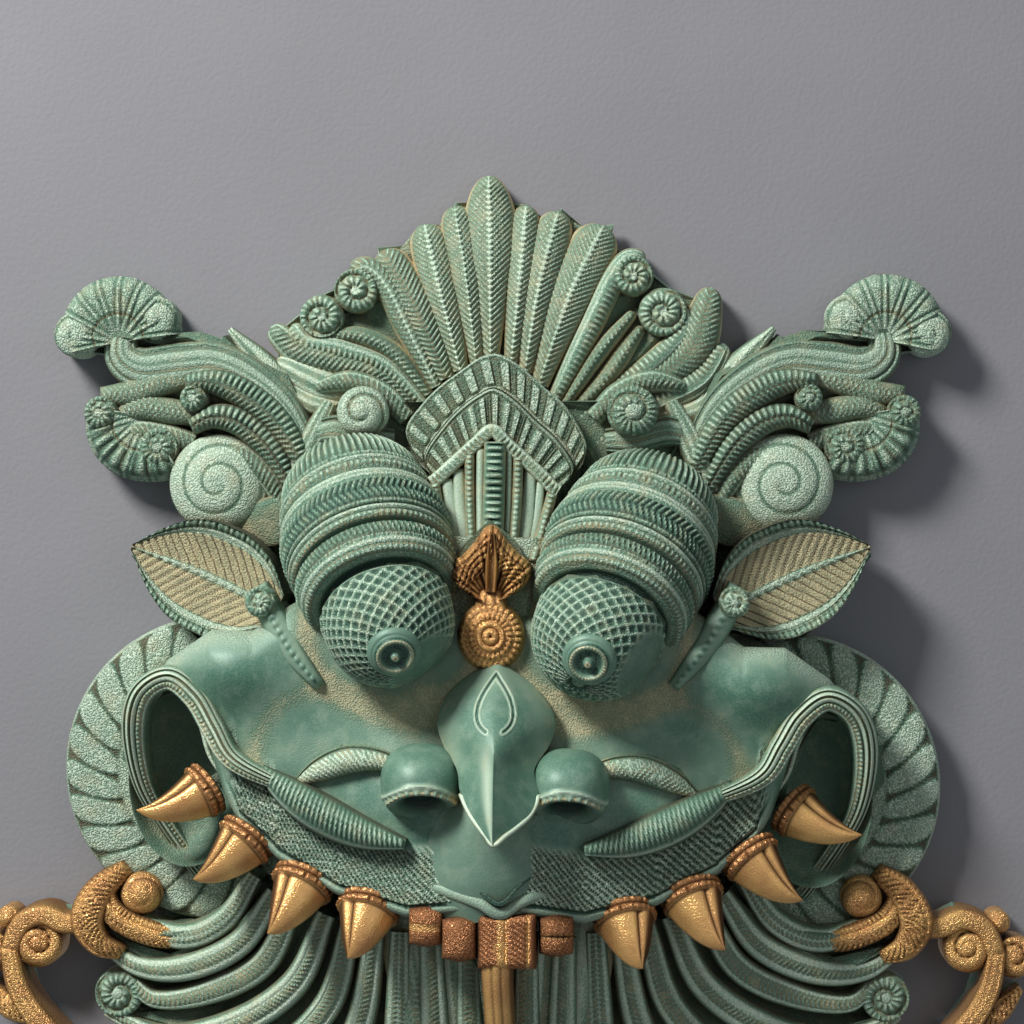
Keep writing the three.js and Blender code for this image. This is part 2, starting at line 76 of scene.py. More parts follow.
def eased(values: np.ndarray, at: np.ndarray) -> np.ndarray:
    """Reads the Catmull-Rom cubic through rows of values.

    Between rows b and c, with a before and d after them and f from 0 to 1, it is half of
    2b + (c - a) f + (2a - 5b + 4c - d) f^2 + (3b - a - 3c + d) f^3.

    Args:
        values: The rows.
        at: Where to read them, in rows.

    Returns:
        What is read at each place.
    """
    k = np.minimum(at.astype(int), len(values) - 2)
    f = (at - k).reshape(at.shape + (1,) * (values.ndim - 1))
    p = np.concatenate(([2 * values[0] - values[1]], values, [2 * values[-1] - values[-2]]))
    a, b, c, d = p[k], p[k + 1], p[k + 2], p[k + 3]
    return 0.5 * (2 * b + (c - a) * f + (2 * a - 5 * b + 4 * c - d) * f**2 + (3 * b - a - 3 * c + d) * f**3)


def read(values: Values | float, t: np.ndarray) -> np.ndarray:
    """Reads a smooth curve through evenly spaced values.

    Args:
        values: The values, or one value that holds everywhere.
        t: Where to read it, from 0 at the first value to 1 at the last.

    Returns:
        The value at each t, eased from one value to the next and never past the least or greatest.
    """
    if isinstance(values, (int, float)):
        return np.full_like(t, values, dtype=float)
    v = np.asarray(values, dtype=float)
    if len(v) == 2:
        return np.interp(t, (0, 1), v)
    return np.clip(eased(v, np.clip(t, 0, 1) * (len(v) - 1)), v.min(), v.max())


def smooth_step(low: float, high: float, v: np.ndarray) -> np.ndarray:
    """Goes from 0 at low to 1 at high by the cubic 3f^2 - 2f^3.

    Args:
        low: Where it starts, which may be over high.
        high: Where it ends.
        v: What to read it at.

    Returns:
        The step's value at each v.
    """
    f = np.clip((v - low) / (high - low), 0, 1)
    return f * f * (3 - 2 * f)


def gauss(v: np.ndarray, spread: float) -> np.ndarray:
    """The bell exp(-(v / spread)^2)."""
    return np.exp(-((v / spread) ** 2))


def trace(points: Iterable[Point], step: float) -> tuple[np.ndarray, np.ndarray, np.ndarray]:
    """Runs a smooth curve through points and reads it at even steps of its length.

    Args:
        points: Where the curve goes, each (x, z).
        step: Distance between two stations.

    Returns:
        The stations, the unit direction at each, and its distance from the start.
    """
    p = np.asarray(list(points), dtype=float)
    fine = eased(p, np.linspace(0, 1, 30 * (len(p) - 1) + 1) * (len(p) - 1))
    length = length_along(fine)
    even = np.linspace(0, length[-1], max(8, int(length[-1] / (step * GRID)) + 1))
    stations = np.stack([np.interp(even, length, fine[:, i]) for i in range(p.shape[1])], axis=1)
    return stations, unit(np.gradient(stations, axis=0)), even


def length_along(points: np.ndarray) -> np.ndarray:
    """Distance along straight lines from the first of some points to each of them."""
    return np.concatenate(([0], np.cumsum(np.linalg.norm(np.diff(points, axis=0), axis=1))))


def unit(v: np.ndarray) -> np.ndarray:
    """Each row of v, or v itself, at length 1."""
    return v / np.linalg.norm(v, axis=-1, keepdims=True)


def quarter(f: np.ndarray) -> np.ndarray:
    """A quarter circle that rises steeply from 0 at f = 0 to a flat 1 at f = 1: sqrt(1 - (1 - f)^2)."""
    return np.sqrt(1 - (1 - np.clip(f, 0, 1)) ** 2)


def mirrored(points: Iterable[Point], side: int, lean: bool = False) -> list[Point]:
    """Mirrors points to one side of the mask.

    Args:
        points: The points on the viewer's right, each (x, z).
        side: 1 for the viewer's right and -1 for the left.
        lean: True if they drop with the mouth.

    Returns:
        The points on that side.
    """
    drop = LEAN if lean else 0.0
    return [(x * side, z - drop * x * side) for x, z in points]


def facing(angle: float, side: int) -> float:
    """An angle given for the viewer's right, in degrees, on the side asked for."""
    return angle if side > 0 else 180 - angle


class Work(Enum):
    """How the chaser worked a band of the surface."""

    SMOOTH = "smooth"
    BEADS = "beads"
    ROPE = "rope"
    CHEVRON = "chevron"
    FLUTES = "flutes"
    LINES = "lines"
    NET = "net"
    PANELS = "panels"
    LEAVES = "leaves"
    WEAVE = "weave"
    GROOVE = "groove"
    VEINS = "veins"


@dataclass(frozen=True)
class Lane:
    """A band of chased work that runs along a strand or round a turned form.

    Attributes:
        start: Where it begins across the strand (0 to 1), or along a turned form's profile (mm).
        stop: Where it ends.
        work: The kind of mark.
        rise: How far the marks stand out.
        pitch: Distance from mark to mark, or the number of lines for LINES.
        dust: How pale the dust in its hollows is.
        hollow: How much its hollows show.
        slant: How far a mark runs along for each mm across.
    """

    start: float
    stop: float
    work: Work
    rise: float = 1.0
    pitch: float = 2.4
    dust: float = 0.3
    hollow: float = 0.9
    slant: float = 0.7

    def marks(
        self, along: np.ndarray, across: np.ndarray, width: np.ndarray
    ) -> tuple[np.ndarray, np.ndarray]:
        """Works out the marks on a grid.

        Most marks lie under the dome sqrt(1 - c^2) across their band, c from -1 to 1, and repeat as a
        cosine of the distance along plus slant times the distance across. Beads are half balls, a net
        is two crossing sets of ridges, panels are ribs with two columns of beads between them, leaves
        are parted by narrow cuts, and a weave is the product of two crossing cosines.

        Args:
            along: Distance along the band.
            across: Position across, in the units of start.
            width: How many mm one unit of across is.

        Returns:
            The share of the full rise at each point, and whether the point is in the band.
        """
        v = (across - self.start) / (self.stop - self.start)
        inside = (v >= 0) & (v <= 1)
        c = np.clip(2 * v - 1, -1, 1)
        off = c * (self.stop - self.start) * width / 2
        dome = np.sqrt(np.clip(1 - c * c, 0, 1))
        turn = 2 * np.pi / self.pitch
        if self.work is Work.BEADS:
            q = 2 * ((along / self.pitch) % 1) - 1
            h = np.sqrt(np.clip(1 - c * c - q * q, 0, 1))
        elif self.work is Work.ROPE:
            h = dome**0.6 * (0.5 + 0.5 * np.cos(turn * (along + self.slant * off)))
        elif self.work in (Work.CHEVRON, Work.VEINS):
            h = dome**0.3 * (0.5 + 0.5 * np.cos(turn * (along - self.slant * np.abs(off))))
            h = np.sqrt(h) if self.work is Work.VEINS else h
        elif self.work is Work.FLUTES:
            h = dome**0.4 * np.abs(np.cos(turn * along / 2))
        elif self.work is Work.LINES:
            h = np.abs(np.sin(np.pi * self.pitch * v)) ** 0.7 + 0 * along
        elif self.work is Work.NET:
            one = np.abs(np.sin(turn / 2 * (along + off)))
            two = np.abs(np.sin(turn / 2 * (along - off)))
            h = np.maximum(gauss(np.minimum(one, two), 0.62), 0.25 * (one * two) ** 3)
            h = h * smooth_step(0, 0.04, v) * smooth_step(1, 0.96, v)
        elif self.work is Work.PANELS:
            q = np.abs(2 * ((along / self.pitch) % 1) - 1)
            dots = np.abs(np.sin(np.pi * q / 0.44) * np.sin(np.pi * off / 2.3))
            cell = 0.7 * dots * smooth_step(0.46, 0.40, q)
            h = np.maximum(smooth_step(0.46, 0.56, q), cell) * smooth_step(1, 0.85, np.abs(c))
        elif self.work is Work.LEAVES:
            q = np.abs(2 * (((along + self.slant * off) / self.pitch) % 1) - 1)
            h = smooth_step(0.0, 0.12, dome**0.35 * 0.98 - q)
        elif self.work is Work.WEAVE:
            one = 0.5 + 0.5 * np.cos(turn * (along + self.slant * off))
            two = 0.5 + 0.5 * np.cos(turn * 1.1 * (off - 0.35 * along))
            h = smooth_step(0.0, 0.28, one * (0.4 + 0.6 * two))
        elif self.work is Work.GROOVE:
            h = -dome + 0 * along
        else:
            h = dome + 0 * along
        return np.where(inside, h, 0), inside


def smooth(start: float, stop: float, rise: float) -> Lane:
    """A smooth band from start to stop, with nothing dark in it."""
    return Lane(start, stop, Work.SMOOTH, rise, hollow=0.0)


def cut(start: float, stop: float, rise: float, dust: float = 0.3, hollow: float = 0.9) -> Lane:
    """A groove from start to stop, rise deep."""
    return Lane(start, stop, Work.GROOVE, rise, dust=dust, hollow=hollow)


def beads(start: float, stop: float, rise: float, pitch: float, dust: float = 0.3,
          hollow: float = 0.9) -> Lane:
    """A row of beads from start to stop, one to each pitch."""
    return Lane(start, stop, Work.BEADS, rise, pitch, dust, hollow)


@dataclass
class Patch:
    """A closed surface of rings of points, each ring a loop, with a fan over each end.

    Attributes:
        points: Rings by points by 3.
        hollow: How far each point lies in a hollow of the work, 0 to 1; some pieces add painted shade to
            it.
        dust: How pale the dust in the hollow is, 0 to 1.
        polish: How smooth and dark the surface is, 0 to 1.
        grain: How strongly it is stippled, 0 to 1.
    """

    points: np.ndarray
    hollow: np.ndarray
    dust: np.ndarray | float
    polish: np.ndarray | float
    grain: np.ndarray | float

    def __post_init__(self) -> None:
        """Spreads single values over the points."""
        for name in VALUES:
            value = np.asarray(getattr(self, name), dtype=float)
            setattr(self, name, np.broadcast_to(value, self.points.shape[:2]))


def closed(top: np.ndarray, foot: np.ndarray | float, *values: np.ndarray | float) -> Patch:
    """Closes each row of a carved sheet with two points behind its edges.

    Args:
        top: The sheet, rows by points by 3.
        foot: Y of the two points: one value, or rows by 2.
        values: The sheet's hollow, dust, polish and grain, each at every point or everywhere.

    Returns:
        The sheet and its back as one patch.
    """
    low = top[:, [-1, 0]].copy()
    low[:, :, 1] = foot
    spread = (np.broadcast_to(np.asarray(v, dtype=float), top.shape[:2]) for v in values)
    return Patch(np.concatenate([top, low], axis=1),
                 *(np.concatenate([v, v[:, [-1, 0]]], axis=1) for v in spread))


def surfaces(*parts: "Strand | Turned | Band | Spiral | Shell") -> list[Patch]:
    """The surface of each part."""
    return [part.surface() for part in parts]


def carve(
    lanes: Sequence[Lane], along: np.ndarray, across: np.ndarray, width: np.ndarray | float,
) -> tuple[np.ndarray, np.ndarray, np.ndarray]:
    """Adds up the lanes on a grid.

    Args:
        lanes: The bands of work.
        along: Distance along them.
        across: Position across them, in the units of their starts.
        width: How many mm one unit of across is.

    Returns:
        The height in mm, how hollow it is and how pale the dust is, at each point.
    """
    shape = np.broadcast_shapes(np.shape(along), np.shape(across), np.shape(width))
    height, hollow, dust = np.zeros(shape), np.zeros(shape), np.full(shape, 0.3)
    for lane in lanes:
        h, inside = lane.marks(along, across, width)
        height += lane.rise * h
        veined, groove = lane.work is Work.VEINS, lane.work is Work.GROOVE
        deep = -h if groove else 1 - (0.35 if veined else 1.0) * h
        hollow = np.where(inside, np.maximum(hollow * groove, deep * lane.hollow), hollow)
        dust = np.where(inside, lane.dust * (smooth_step(0.1, 0.5, h) if veined else 1.0), dust)
    return height, hollow, dust


@dataclass(frozen=True)
class Strand:
    """A lock, leaf or band of relief carried along a path.

    Attributes:
        path: Its middle line, each (x, z).
        width: Its width along the path.
        depth: Depth of its edges from the wall along the path.
        camber: How far its middle stands over its edges along the path.
        power: Shape of the camber, whose height is (1 - |c|^power)^ease of it.
        lanes: Chased work across it.
        floor: Depth of its back.
        ground: Gives the depth of the surface it lies on, which is added to depth.
        step: Distance between two stations.
        across: Distance between two points across.
        blunt: Share of its width over which each end is rounded off.
        dust: How pale the dust along its edges is.
        valley: How much the hollows along its edges show.
        polish: How smooth it is.
        grain: How stippled it is.
        flip: True if its lanes run from its other edge.
        ease: Shape of the camber's flanks, which run out softly over 1.
        lobed: True if its far end is a half round.
    """

    path: Sequence[Point]
    width: Values | float
    depth: Values | float
    camber: Values | float = 4.0
    power: float = 2.0
    lanes: Sequence[Lane] = ()
    floor: float = 4.0
    ground: Callable[[np.ndarray, np.ndarray], np.ndarray] | None = None
    step: float = 0.6
    across: float = 0.75
    blunt: Point = (0.5, 0.5)
    dust: float = 0.6
    valley: float = 0.7
    polish: float = 0.0
    grain: float = 0.5
    flip: bool = False
    ease: float = 0.6
    lobed: bool = False

    def surface(self) -> Patch:
        """Carries the profile along the path.

        At each station the profile is laid square to the path in the plane of the wall: c goes from
        -1 to 1 across, and the depth is the edges' depth plus the camber and the lanes' marks, both
        rounded off towards the ends by a quarter circle, as the width is if it is lobed. Two points
        on the floor close the ring.
        """
        at, way, along = trace(self.path, self.step)
        t = along / along[-1]
        width = read(self.width, t)
        wide = float(np.max(width))
        if self.lobed:
            width = width * np.maximum(quarter((along[-1] - along) / (0.5 * width)), 0.02)
        count = max(6, int(round(wide / (self.across * GRID))))
        c = np.sin(np.linspace(-1, 1, count) * 1.25) / math.sin(1.25)
        reach = c[None, :] * width[:, None] / 2
        x = at[:, :1] + reach * way[:, 1:]
        z = at[:, 1:] - reach * way[:, :1]
        ends = np.ones_like(along)
        for distance, share in ((along, self.blunt[0]), (along[-1] - along, self.blunt[1])):
            if share > 0:
                ends *= quarter(distance / (share * wide))
        place = ((-c if self.flip else c)[None, :] + 1) / 2
        height, hollow, dust = carve(self.lanes, along[:, None], place, width[:, None])
        crown = read(self.camber, t)[:, None] * (1 - np.abs(c[None, :]) ** self.power) ** self.ease
        depth = read(self.depth, t)[:, None] + (crown + height) * ends[:, None]
        if self.ground is not None:
            depth = depth + self.ground(x, z)
        edge = smooth_step(0.72, 1.0, np.abs(c))[None, :] * self.valley
        dust = np.where(edge > hollow, self.dust, dust)
        hollow = np.maximum(hollow, edge)
        foot = np.maximum(TUCK - depth[:, [-1, 0]], -self.floor)
        return closed(np.stack([x, -depth, z], axis=2), foot, hollow, dust, self.polish, self.grain)


@dataclass(frozen=True)
class Turned:
    """A form turned round an axis: an eye, a boss, a disc or a bowl.

    Attributes:
        centre: The point (x, y, z) that distances back are measured from.
        profile: (radius, distance back) from the front pole on.
        axis: Direction from front to back.
        lanes: Bands of work, placed in mm along the profile from the front pole.
        step: Distance between two rings.
        around: Distance between two points on the widest ring.
        hidden: Share of the turn, on the side away from the viewer, that is coarse.
        squash: Scale of the form in X and in Z.
        polish: How smooth it is.
        grain: How stippled it is.
        bare: A point (x, y, z) and a distance within which it is worn smooth.
        base: How hollow it is between its lanes.
        dusty: How pale the dust is between its lanes.
    """

    centre: Triple
    profile: Sequence[Point]
    axis: Triple = (0, 1, 0)
    lanes: Sequence[Lane] = ()
    step: float = 0.7
    around: float = 0.8
    hidden: float = 0.0
    squash: Point = (1, 1)
    polish: float = 0.0
    grain: float = 0.5
    bare: tuple[float, float, float, float] | None = None
    base: float = 0.0
    dusty: float = 0.3

    def surface(self) -> Patch:
        """Turns the profile round the axis and pushes it out along its own normal by the lanes' marks.

        A point at radius r and distance b back lies at centre + b * axis + r * (cos a * u + sin a * v),
        where u is the direction square to the axis that is nearest to the viewer.
        """
        p = np.asarray(self.profile, dtype=float)
        length = length_along(p)
        run = np.linspace(0, length[-1], max(6, int(length[-1] / (self.step * GRID)) + 1))
        r, b = (np.interp(run, length, p[:, i]) for i in (0, 1))
        dr, db = np.gradient(r, run), np.gradient(b, run)
        size = np.hypot(dr, db)
        out_r, out_b = db / size, -dr / size
        full = max(12, int(2 * np.pi * r.max() / (self.around * GRID)))
        fine = int(full * (1 - self.hidden))
        if self.hidden:
            seen = np.linspace(-1, 1, fine) * np.pi * (1 - self.hidden)
            far = np.linspace(seen[-1], 2 * np.pi + seen[0], max(8, fine // 12))[1:-1]
            a = np.concatenate([seen, far])
        else:
            a = np.arange(fine) * 2 * np.pi / fine
        height = np.zeros((len(run), len(a)))
        hollow, dust = np.full_like(height, self.base), np.full_like(height, self.dusty)
        for lane in self.lanes:
            middle = np.interp((lane.start + lane.stop) / 2, run, r)
            marks = max(3, round(2 * np.pi * middle / lane.pitch))
            h, inside = lane.marks(a[None, :] / (2 * np.pi) * marks * lane.pitch, run[:, None],
                                   np.ones((1, 1)))
            height += lane.rise * h
            groove = lane.work is Work.GROOVE
            deep = -h if groove else 1 - h
            hollow = np.where(inside, np.maximum(hollow * groove, deep * lane.hollow), hollow)
            dust = np.where(inside, lane.dust, dust)
        back = unit(np.asarray(self.axis, dtype=float))
        near = np.array([0.0, -1.0, 0.0]) - back * -back[1]
        near = unit(near) if np.linalg.norm(near) > 1e-6 else np.array([1.0, 0.0, 0.0])
        side = np.cross(back, near)
        spoke = np.cos(a)[None, :, None] * near + np.sin(a)[None, :, None] * side
        squash = np.array([self.squash[0], 1, self.squash[1]])
        polish = np.full_like(height, self.polish)
        if self.bare is not None:
            plain = (r[:, None, None] * spoke + b[:, None, None] * back) * squash + np.asarray(self.centre)
            away = np.linalg.norm(plain - np.asarray(self.bare[:3]), axis=2)
            left = smooth_step(0.75 * self.bare[3], self.bare[3], away)
            height, hollow, polish = height * left, hollow * left, np.maximum(polish, 0.9 * (1 - left))
        rr = (r[:, None] + out_r[:, None] * height)[..., None]
        bb = (b[:, None] + out_b[:, None] * height)[..., None]
        points = (rr * spoke + bb * back) * squash
        return Patch(points + np.asarray(self.centre), hollow, dust, polish, self.grain)


@dataclass(frozen=True)
class Band:
    """Relief between two lines.

    Attributes:
        outer: One edge, each (x, z).
        inner: The other edge.
        depth: Depth of its ground along the edges.
        lanes: Bands of work, from 0 at the inner edge to 1 at the outer.
        floor: Depth of its back.
        grain: How stippled it is.
        step: Distance between two points.
        rim: How far its outermost points are rounded down.
    """

    outer: Sequence[Point]
    inner: Sequence[Point]
    depth: Values
    lanes: Sequence[Lane] = ()
    floor: float = 8.0
    grain: float = 0.8
    step: float = 0.6
    rim: float = 1.5

    def surface(self) -> Patch:
        """Rules straight lines from one edge to the other and raises the lanes' marks on them.

        With s from 0 to 1 across, the rim's roundness is sqrt(1 - |2s - 1|^14).
        """
        outer, _, along = trace(self.outer, self.step)
        inner, _, short = trace(self.inner, self.step)
        t = along / along[-1]
        inner = np.stack([np.interp(t, short / short[-1], inner[:, i]) for i in (0, 1)], axis=1)
        wide = float(np.linalg.norm(outer - inner, axis=1).mean())
        s = np.linspace(0, 1, max(8, int(wide / (self.step * GRID))))[None, :]
        x, z = (inner[:, i : i + 1] + (outer - inner)[:, i : i + 1] * s for i in (0, 1))
        height, hollow, dust = carve(self.lanes, along[:, None], s, wide)
        rim = np.sqrt(np.clip(1 - np.abs(2 * s - 1) ** 14, 0, 1)) * self.rim
        depth = read(self.depth, t)[:, None] + height + rim - self.rim
        return closed(np.stack([x, -depth, z], axis=2), -self.floor, hollow, dust, 0.0, self.grain)


@dataclass(frozen=True)
class Spiral:
    """A volute: a disc with one strand coiled on it.

    Attributes:
        centre: Its middle, (x, z).
        radius: Its radius.
        depth: Depth of the coil's edges from the wall.
        coils: How many turns of the strand lie on it.
        start: Where the coil meets the rim, in degrees.
        way: 1 if it winds in anticlockwise.
        rise: How far the coil stands out.
        lanes: Chased work across the coil.
        floor: Depth of its back.
        knob: Radius of the boss in its middle.
        bulge: How far its middle stands over its rim.
        mark: How much the groove between two coils shows.
        dust: How pale the dust in that groove is.
        polish: How smooth it is.
        grain: How stippled it is.
    """

    centre: Point
    radius: float
    depth: float
    coils: float = 1.6
    start: float = 90.0
    way: int = 1
    rise: float = 2.2
    lanes: Sequence[Lane] = ()
    floor: float = 4.0
    knob: float = 2.4
    bulge: float = 2.0
    mark: float = 0.9
    dust: float = 0.4
    polish: float = 0.0
    grain: float = 0.5

    def surface(self) -> Patch:
        """Lays the coil on a disc.

        The coil's middle line is r = pitch * (k + f), where f is the share of a turn from start and k
        a whole number. The nearest one to a point gives the place across it, c, and the length along
        it is pi * pitch * (k + f)^2. The boss in the middle is a low ball.
        """
        rings = max(8, int(self.radius / (0.6 * GRID)))
        r = np.linspace(0.15, 1, rings)[:, None] * self.radius
        count = max(24, int(2 * np.pi * self.radius / (0.8 * GRID)))
        a = np.arange(count)[None, :] * 2 * np.pi / count
        pitch = self.radius / self.coils
        f = (self.way * (a - math.radians(self.start)) / (2 * np.pi)) % 1
        f = (self.coils + f) % 1
        middle = np.maximum(np.round(r / pitch - f) + f, 0)
        c = np.clip((r / pitch - middle) * 2, -1, 1)
        along = np.pi * pitch * middle**2
        height, hollow, dust = carve(self.lanes, along, (c + 1) / 2, np.full_like(c, pitch))
        crown = self.rise * np.sqrt(np.clip(1 - c * c, 0, 1))
        edge = smooth_step(0.75, 1, np.abs(c)) * self.mark
        inner = smooth_step(self.knob * 1.35, self.knob, r) + 0 * a
        boss = self.rise * 1.2 * np.sqrt(np.clip(1 - (r / (self.knob * 1.3)) ** 2, 0, 1))
        lift = (crown + height) * (1 - inner) + boss * inner
        rim = np.sqrt(np.clip((1 - r / self.radius) / 0.08, 0, 1))
        depth = self.depth + self.bulge * (1 - (r / self.radius) ** 2) + lift * rim
        x, z = self.centre[0] + r * np.cos(a), self.centre[1] + r * np.sin(a)
        top = np.stack(np.broadcast_arrays(x, -depth, z), axis=2)
        low = top[-1:].copy()
        low[:, :, 1] = -self.floor
        points = np.concatenate([top, low], axis=0)
        dust = np.where(edge > hollow, self.dust, dust)
        hollow = np.maximum(hollow, edge) * (1 - inner)
        hollow, dust = (np.concatenate([v, v[-1:]], axis=0) for v in (hollow, dust))
        return Patch(points, hollow, dust, self.polish, self.grain)


@dataclass(frozen=True)
class Shell:
    """A cushion marked with fine ridges that spread from a centre.

    Attributes:
        centre: Where the ridges meet, (x, z).
        reach: Length of the fan along its turn.
        turn: Its first and last direction, in degrees.
        ribs: How many panels lie between the ridges.
        depth: Depth at the centre and at the rim.
        rise: How far a ridge stands out.
        lanes: Bands of work across the panels, from 0 at the centre to 1 at the rim.
        floor: Depth of its back.
        inner: Where the fan begins, as a share of its reach.
        round: How far its rim is rounded down.
        mark: How much the grooves beside the ridges show.
        dust: How pale the dust in those grooves is.
        grain: How stippled it is.
    """

    centre: Point
    reach: Values | float
    turn: Point
    ribs: int
    depth: Values
    rise: float = 1.1
    lanes: Sequence[Lane] = ()
    floor: float = 4.0
    inner: float = 0.08
    round: float = 7.0
    mark: float = 0.9
    dust: float = 0.2
    grain: float = 0.9

    def surface(self) -> Patch:
        """Spreads the panels.

        A ridge is the bell of the distance off a panel's edge, with a groove beside it that is the
        bell of that distance less 1.6 mm, and between them a panel swells as sqrt(1 - c^2).
        """
        first, last = (math.radians(v) for v in self.turn)
        reach = float(np.max(self.reach))
        count = max(24, int(abs(last - first) * reach / (0.6 * GRID)))
        s = np.linspace(0, 1, count)
        a = first + (last - first) * s
        c = 2 * ((s * self.ribs) % 1) - 1
        long = read(self.reach, s)
        t = np.linspace(0, 1, max(10, int(reach * (1 - self.inner) / (0.7 * GRID))))
        share = self.inner + (1 - self.inner) * t
        r = share[None, :] * long[:, None]
        x = self.centre[0] + r * np.cos(a)[:, None]
        z = self.centre[1] + r * np.sin(a)[:, None]
        grow = smooth_step(0, 0.35, t)[None, :]
        width = np.maximum(r * abs(last - first) / self.ribs / 2, 0.1)
        off = (1 - np.abs(c))[:, None] * width
        ridge, beside = gauss(off, 0.65), gauss(off - 1.6, 0.7)
        height, hollow, dust = carve(self.lanes, r.mean(axis=1)[:, None] * a[:, None], t[None, :], reach)
        fall = self.round * (1 - np.sqrt(1 - smooth_step(0.72, 1, t) ** 2 * 0.98))[None, :]
        swell = np.sqrt(np.clip(1 - c * c, 0, 1))[:, None]
        lift = (self.rise * (ridge - 0.8 * beside) + swell) * grow
        depth = read(self.depth, t)[None, :] + lift + height - fall
        groove = beside * grow * self.mark
        dust = np.where(groove > hollow, self.dust, dust)
        hollow = np.maximum(np.maximum(hollow, groove), 0.24 * self.mark * (1 - ridge) * (hollow < 0.01))
        return closed(np.stack([x, -depth, z], axis=2), -self.floor, hollow, dust, 0.0, self.grain)


Socket = bpy.types.NodeSocket
Colour = Triple


class Nodes:
    """A material's node tree, built from inside the script."""

    def __init__(self, name: str) -> None:
        """Starts an empty tree.

        Args:
            name: The material's name.
        """
        self.material = bpy.data.materials.new(name)
        self.material.use_nodes = True
        self.tree = self.material.node_tree
        self.tree.nodes.clear()
        self.place = self.node("ShaderNodeTexCoord").outputs["Object"]

    def node(self, kind: str, inputs: dict | None = None, **settings) -> bpy.types.Node:
        """Adds a node.

        Args:
            kind: Its type.
            inputs: What its inputs are linked to or set to, by name or number.
            settings: Its properties.

        Returns:
            The node.
        """
        made = self.tree.nodes.new(kind)
        for name, value in settings.items():
            setattr(made, name, value)
        for name, value in (inputs or {}).items():
            if isinstance(value, Socket):
                self.tree.links.new(value, made.inputs[name])
            else:
                made.inputs[name].default_value = value
        return made

    def noise(self, scale: float, detail: float = 2.0, rough: float = 0.5) -> Socket:
        """Noise of so many features a metre, spread to fill 0 to 1."""
        inputs = {"Vector": self.place, "Scale": scale, "Detail": detail, "Roughness": rough}
        return self.span(self.node("ShaderNodeTexNoise", inputs).outputs["Fac"], 0.3, 0.7)

    def span(self, value: Socket, low: float, high: float, to: Point = (0.0, 1.0)) -> Socket:
        """Maps low..high to the range to, and stops there."""
        inputs = {"Value": value, "From Min": low, "From Max": high, "To Min": to[0], "To Max": to[1]}
        return self.node("ShaderNodeMapRange", inputs).outputs["Result"]

    def math(self, how: str, a: Socket | float, b: Socket | float) -> Socket:
        """One sum, held between 0 and 1."""
        return self.node("ShaderNodeMath", {0: a, 1: b}, operation=how, use_clamp=True).outputs[0]

    def plus(self, a: Socket, b: Socket) -> Socket:
        """The sum of a and b, at most 1."""
        return self.math("ADD", a, b)

    def times(self, a: Socket, b: Socket | float) -> Socket:
        """The product of a and b."""
        return self.math("MULTIPLY", a, b)

    def most(self, a: Socket, b: Socket) -> Socket:
        """The larger of a and b."""
        return self.math("MAXIMUM", a, b)

    def mix(self, share: Socket, a: Socket | Colour, b: Socket | Colour) -> Socket:
        """A colour between a and b."""
        a, b = (v if isinstance(v, Socket) else (*v, 1.0) for v in (a, b))
        return self.node("ShaderNodeMix", {0: share, 6: a, 7: b}, data_type="RGBA").outputs[2]

    def read(self, name: str) -> Socket:
        """A value that the mesh carries at each point."""
        return self.node("ShaderNodeAttribute", attribute_name=name).outputs["Fac"]

    def closeness(self, distance: float) -> Socket:
        """How much of the view round a point is blocked within a distance, from 0 to 1."""
        made = self.node("ShaderNodeAmbientOcclusion", {"Distance": distance}, samples=4)
        return self.math("SUBTRACT", 1.0, made.outputs["AO"])

    def skin(
        self, colour: Socket, rough: Socket | float, metal: float, height: Socket, strength: float,
        depth: float,
    ) -> Socket:
        """A bumpy surface.

        Args:
            colour: Its colour.
            rough: Its roughness.
            metal: How metallic it is.
            height: Its bumps, from 0 to 1.
            strength: How strongly they show.
            depth: How high they are, in metres, or how deep if it is below 0.

        Returns:
            The shader.
        """
        bump = self.node("ShaderNodeBump", {"Strength": strength, "Distance": depth, "Height": height})
        inputs = {"Base Color": colour, "Roughness": rough, "Normal": bump.outputs["Normal"],
                  "Metallic": metal}
        return self.node("ShaderNodeBsdfPrincipled", inputs).outputs[0]

    def finish(self, shader: Socket) -> bpy.types.Material:
        """Sends the shader to the output."""
        self.node("ShaderNodeOutputMaterial", {"Surface": shader})
        return self.material


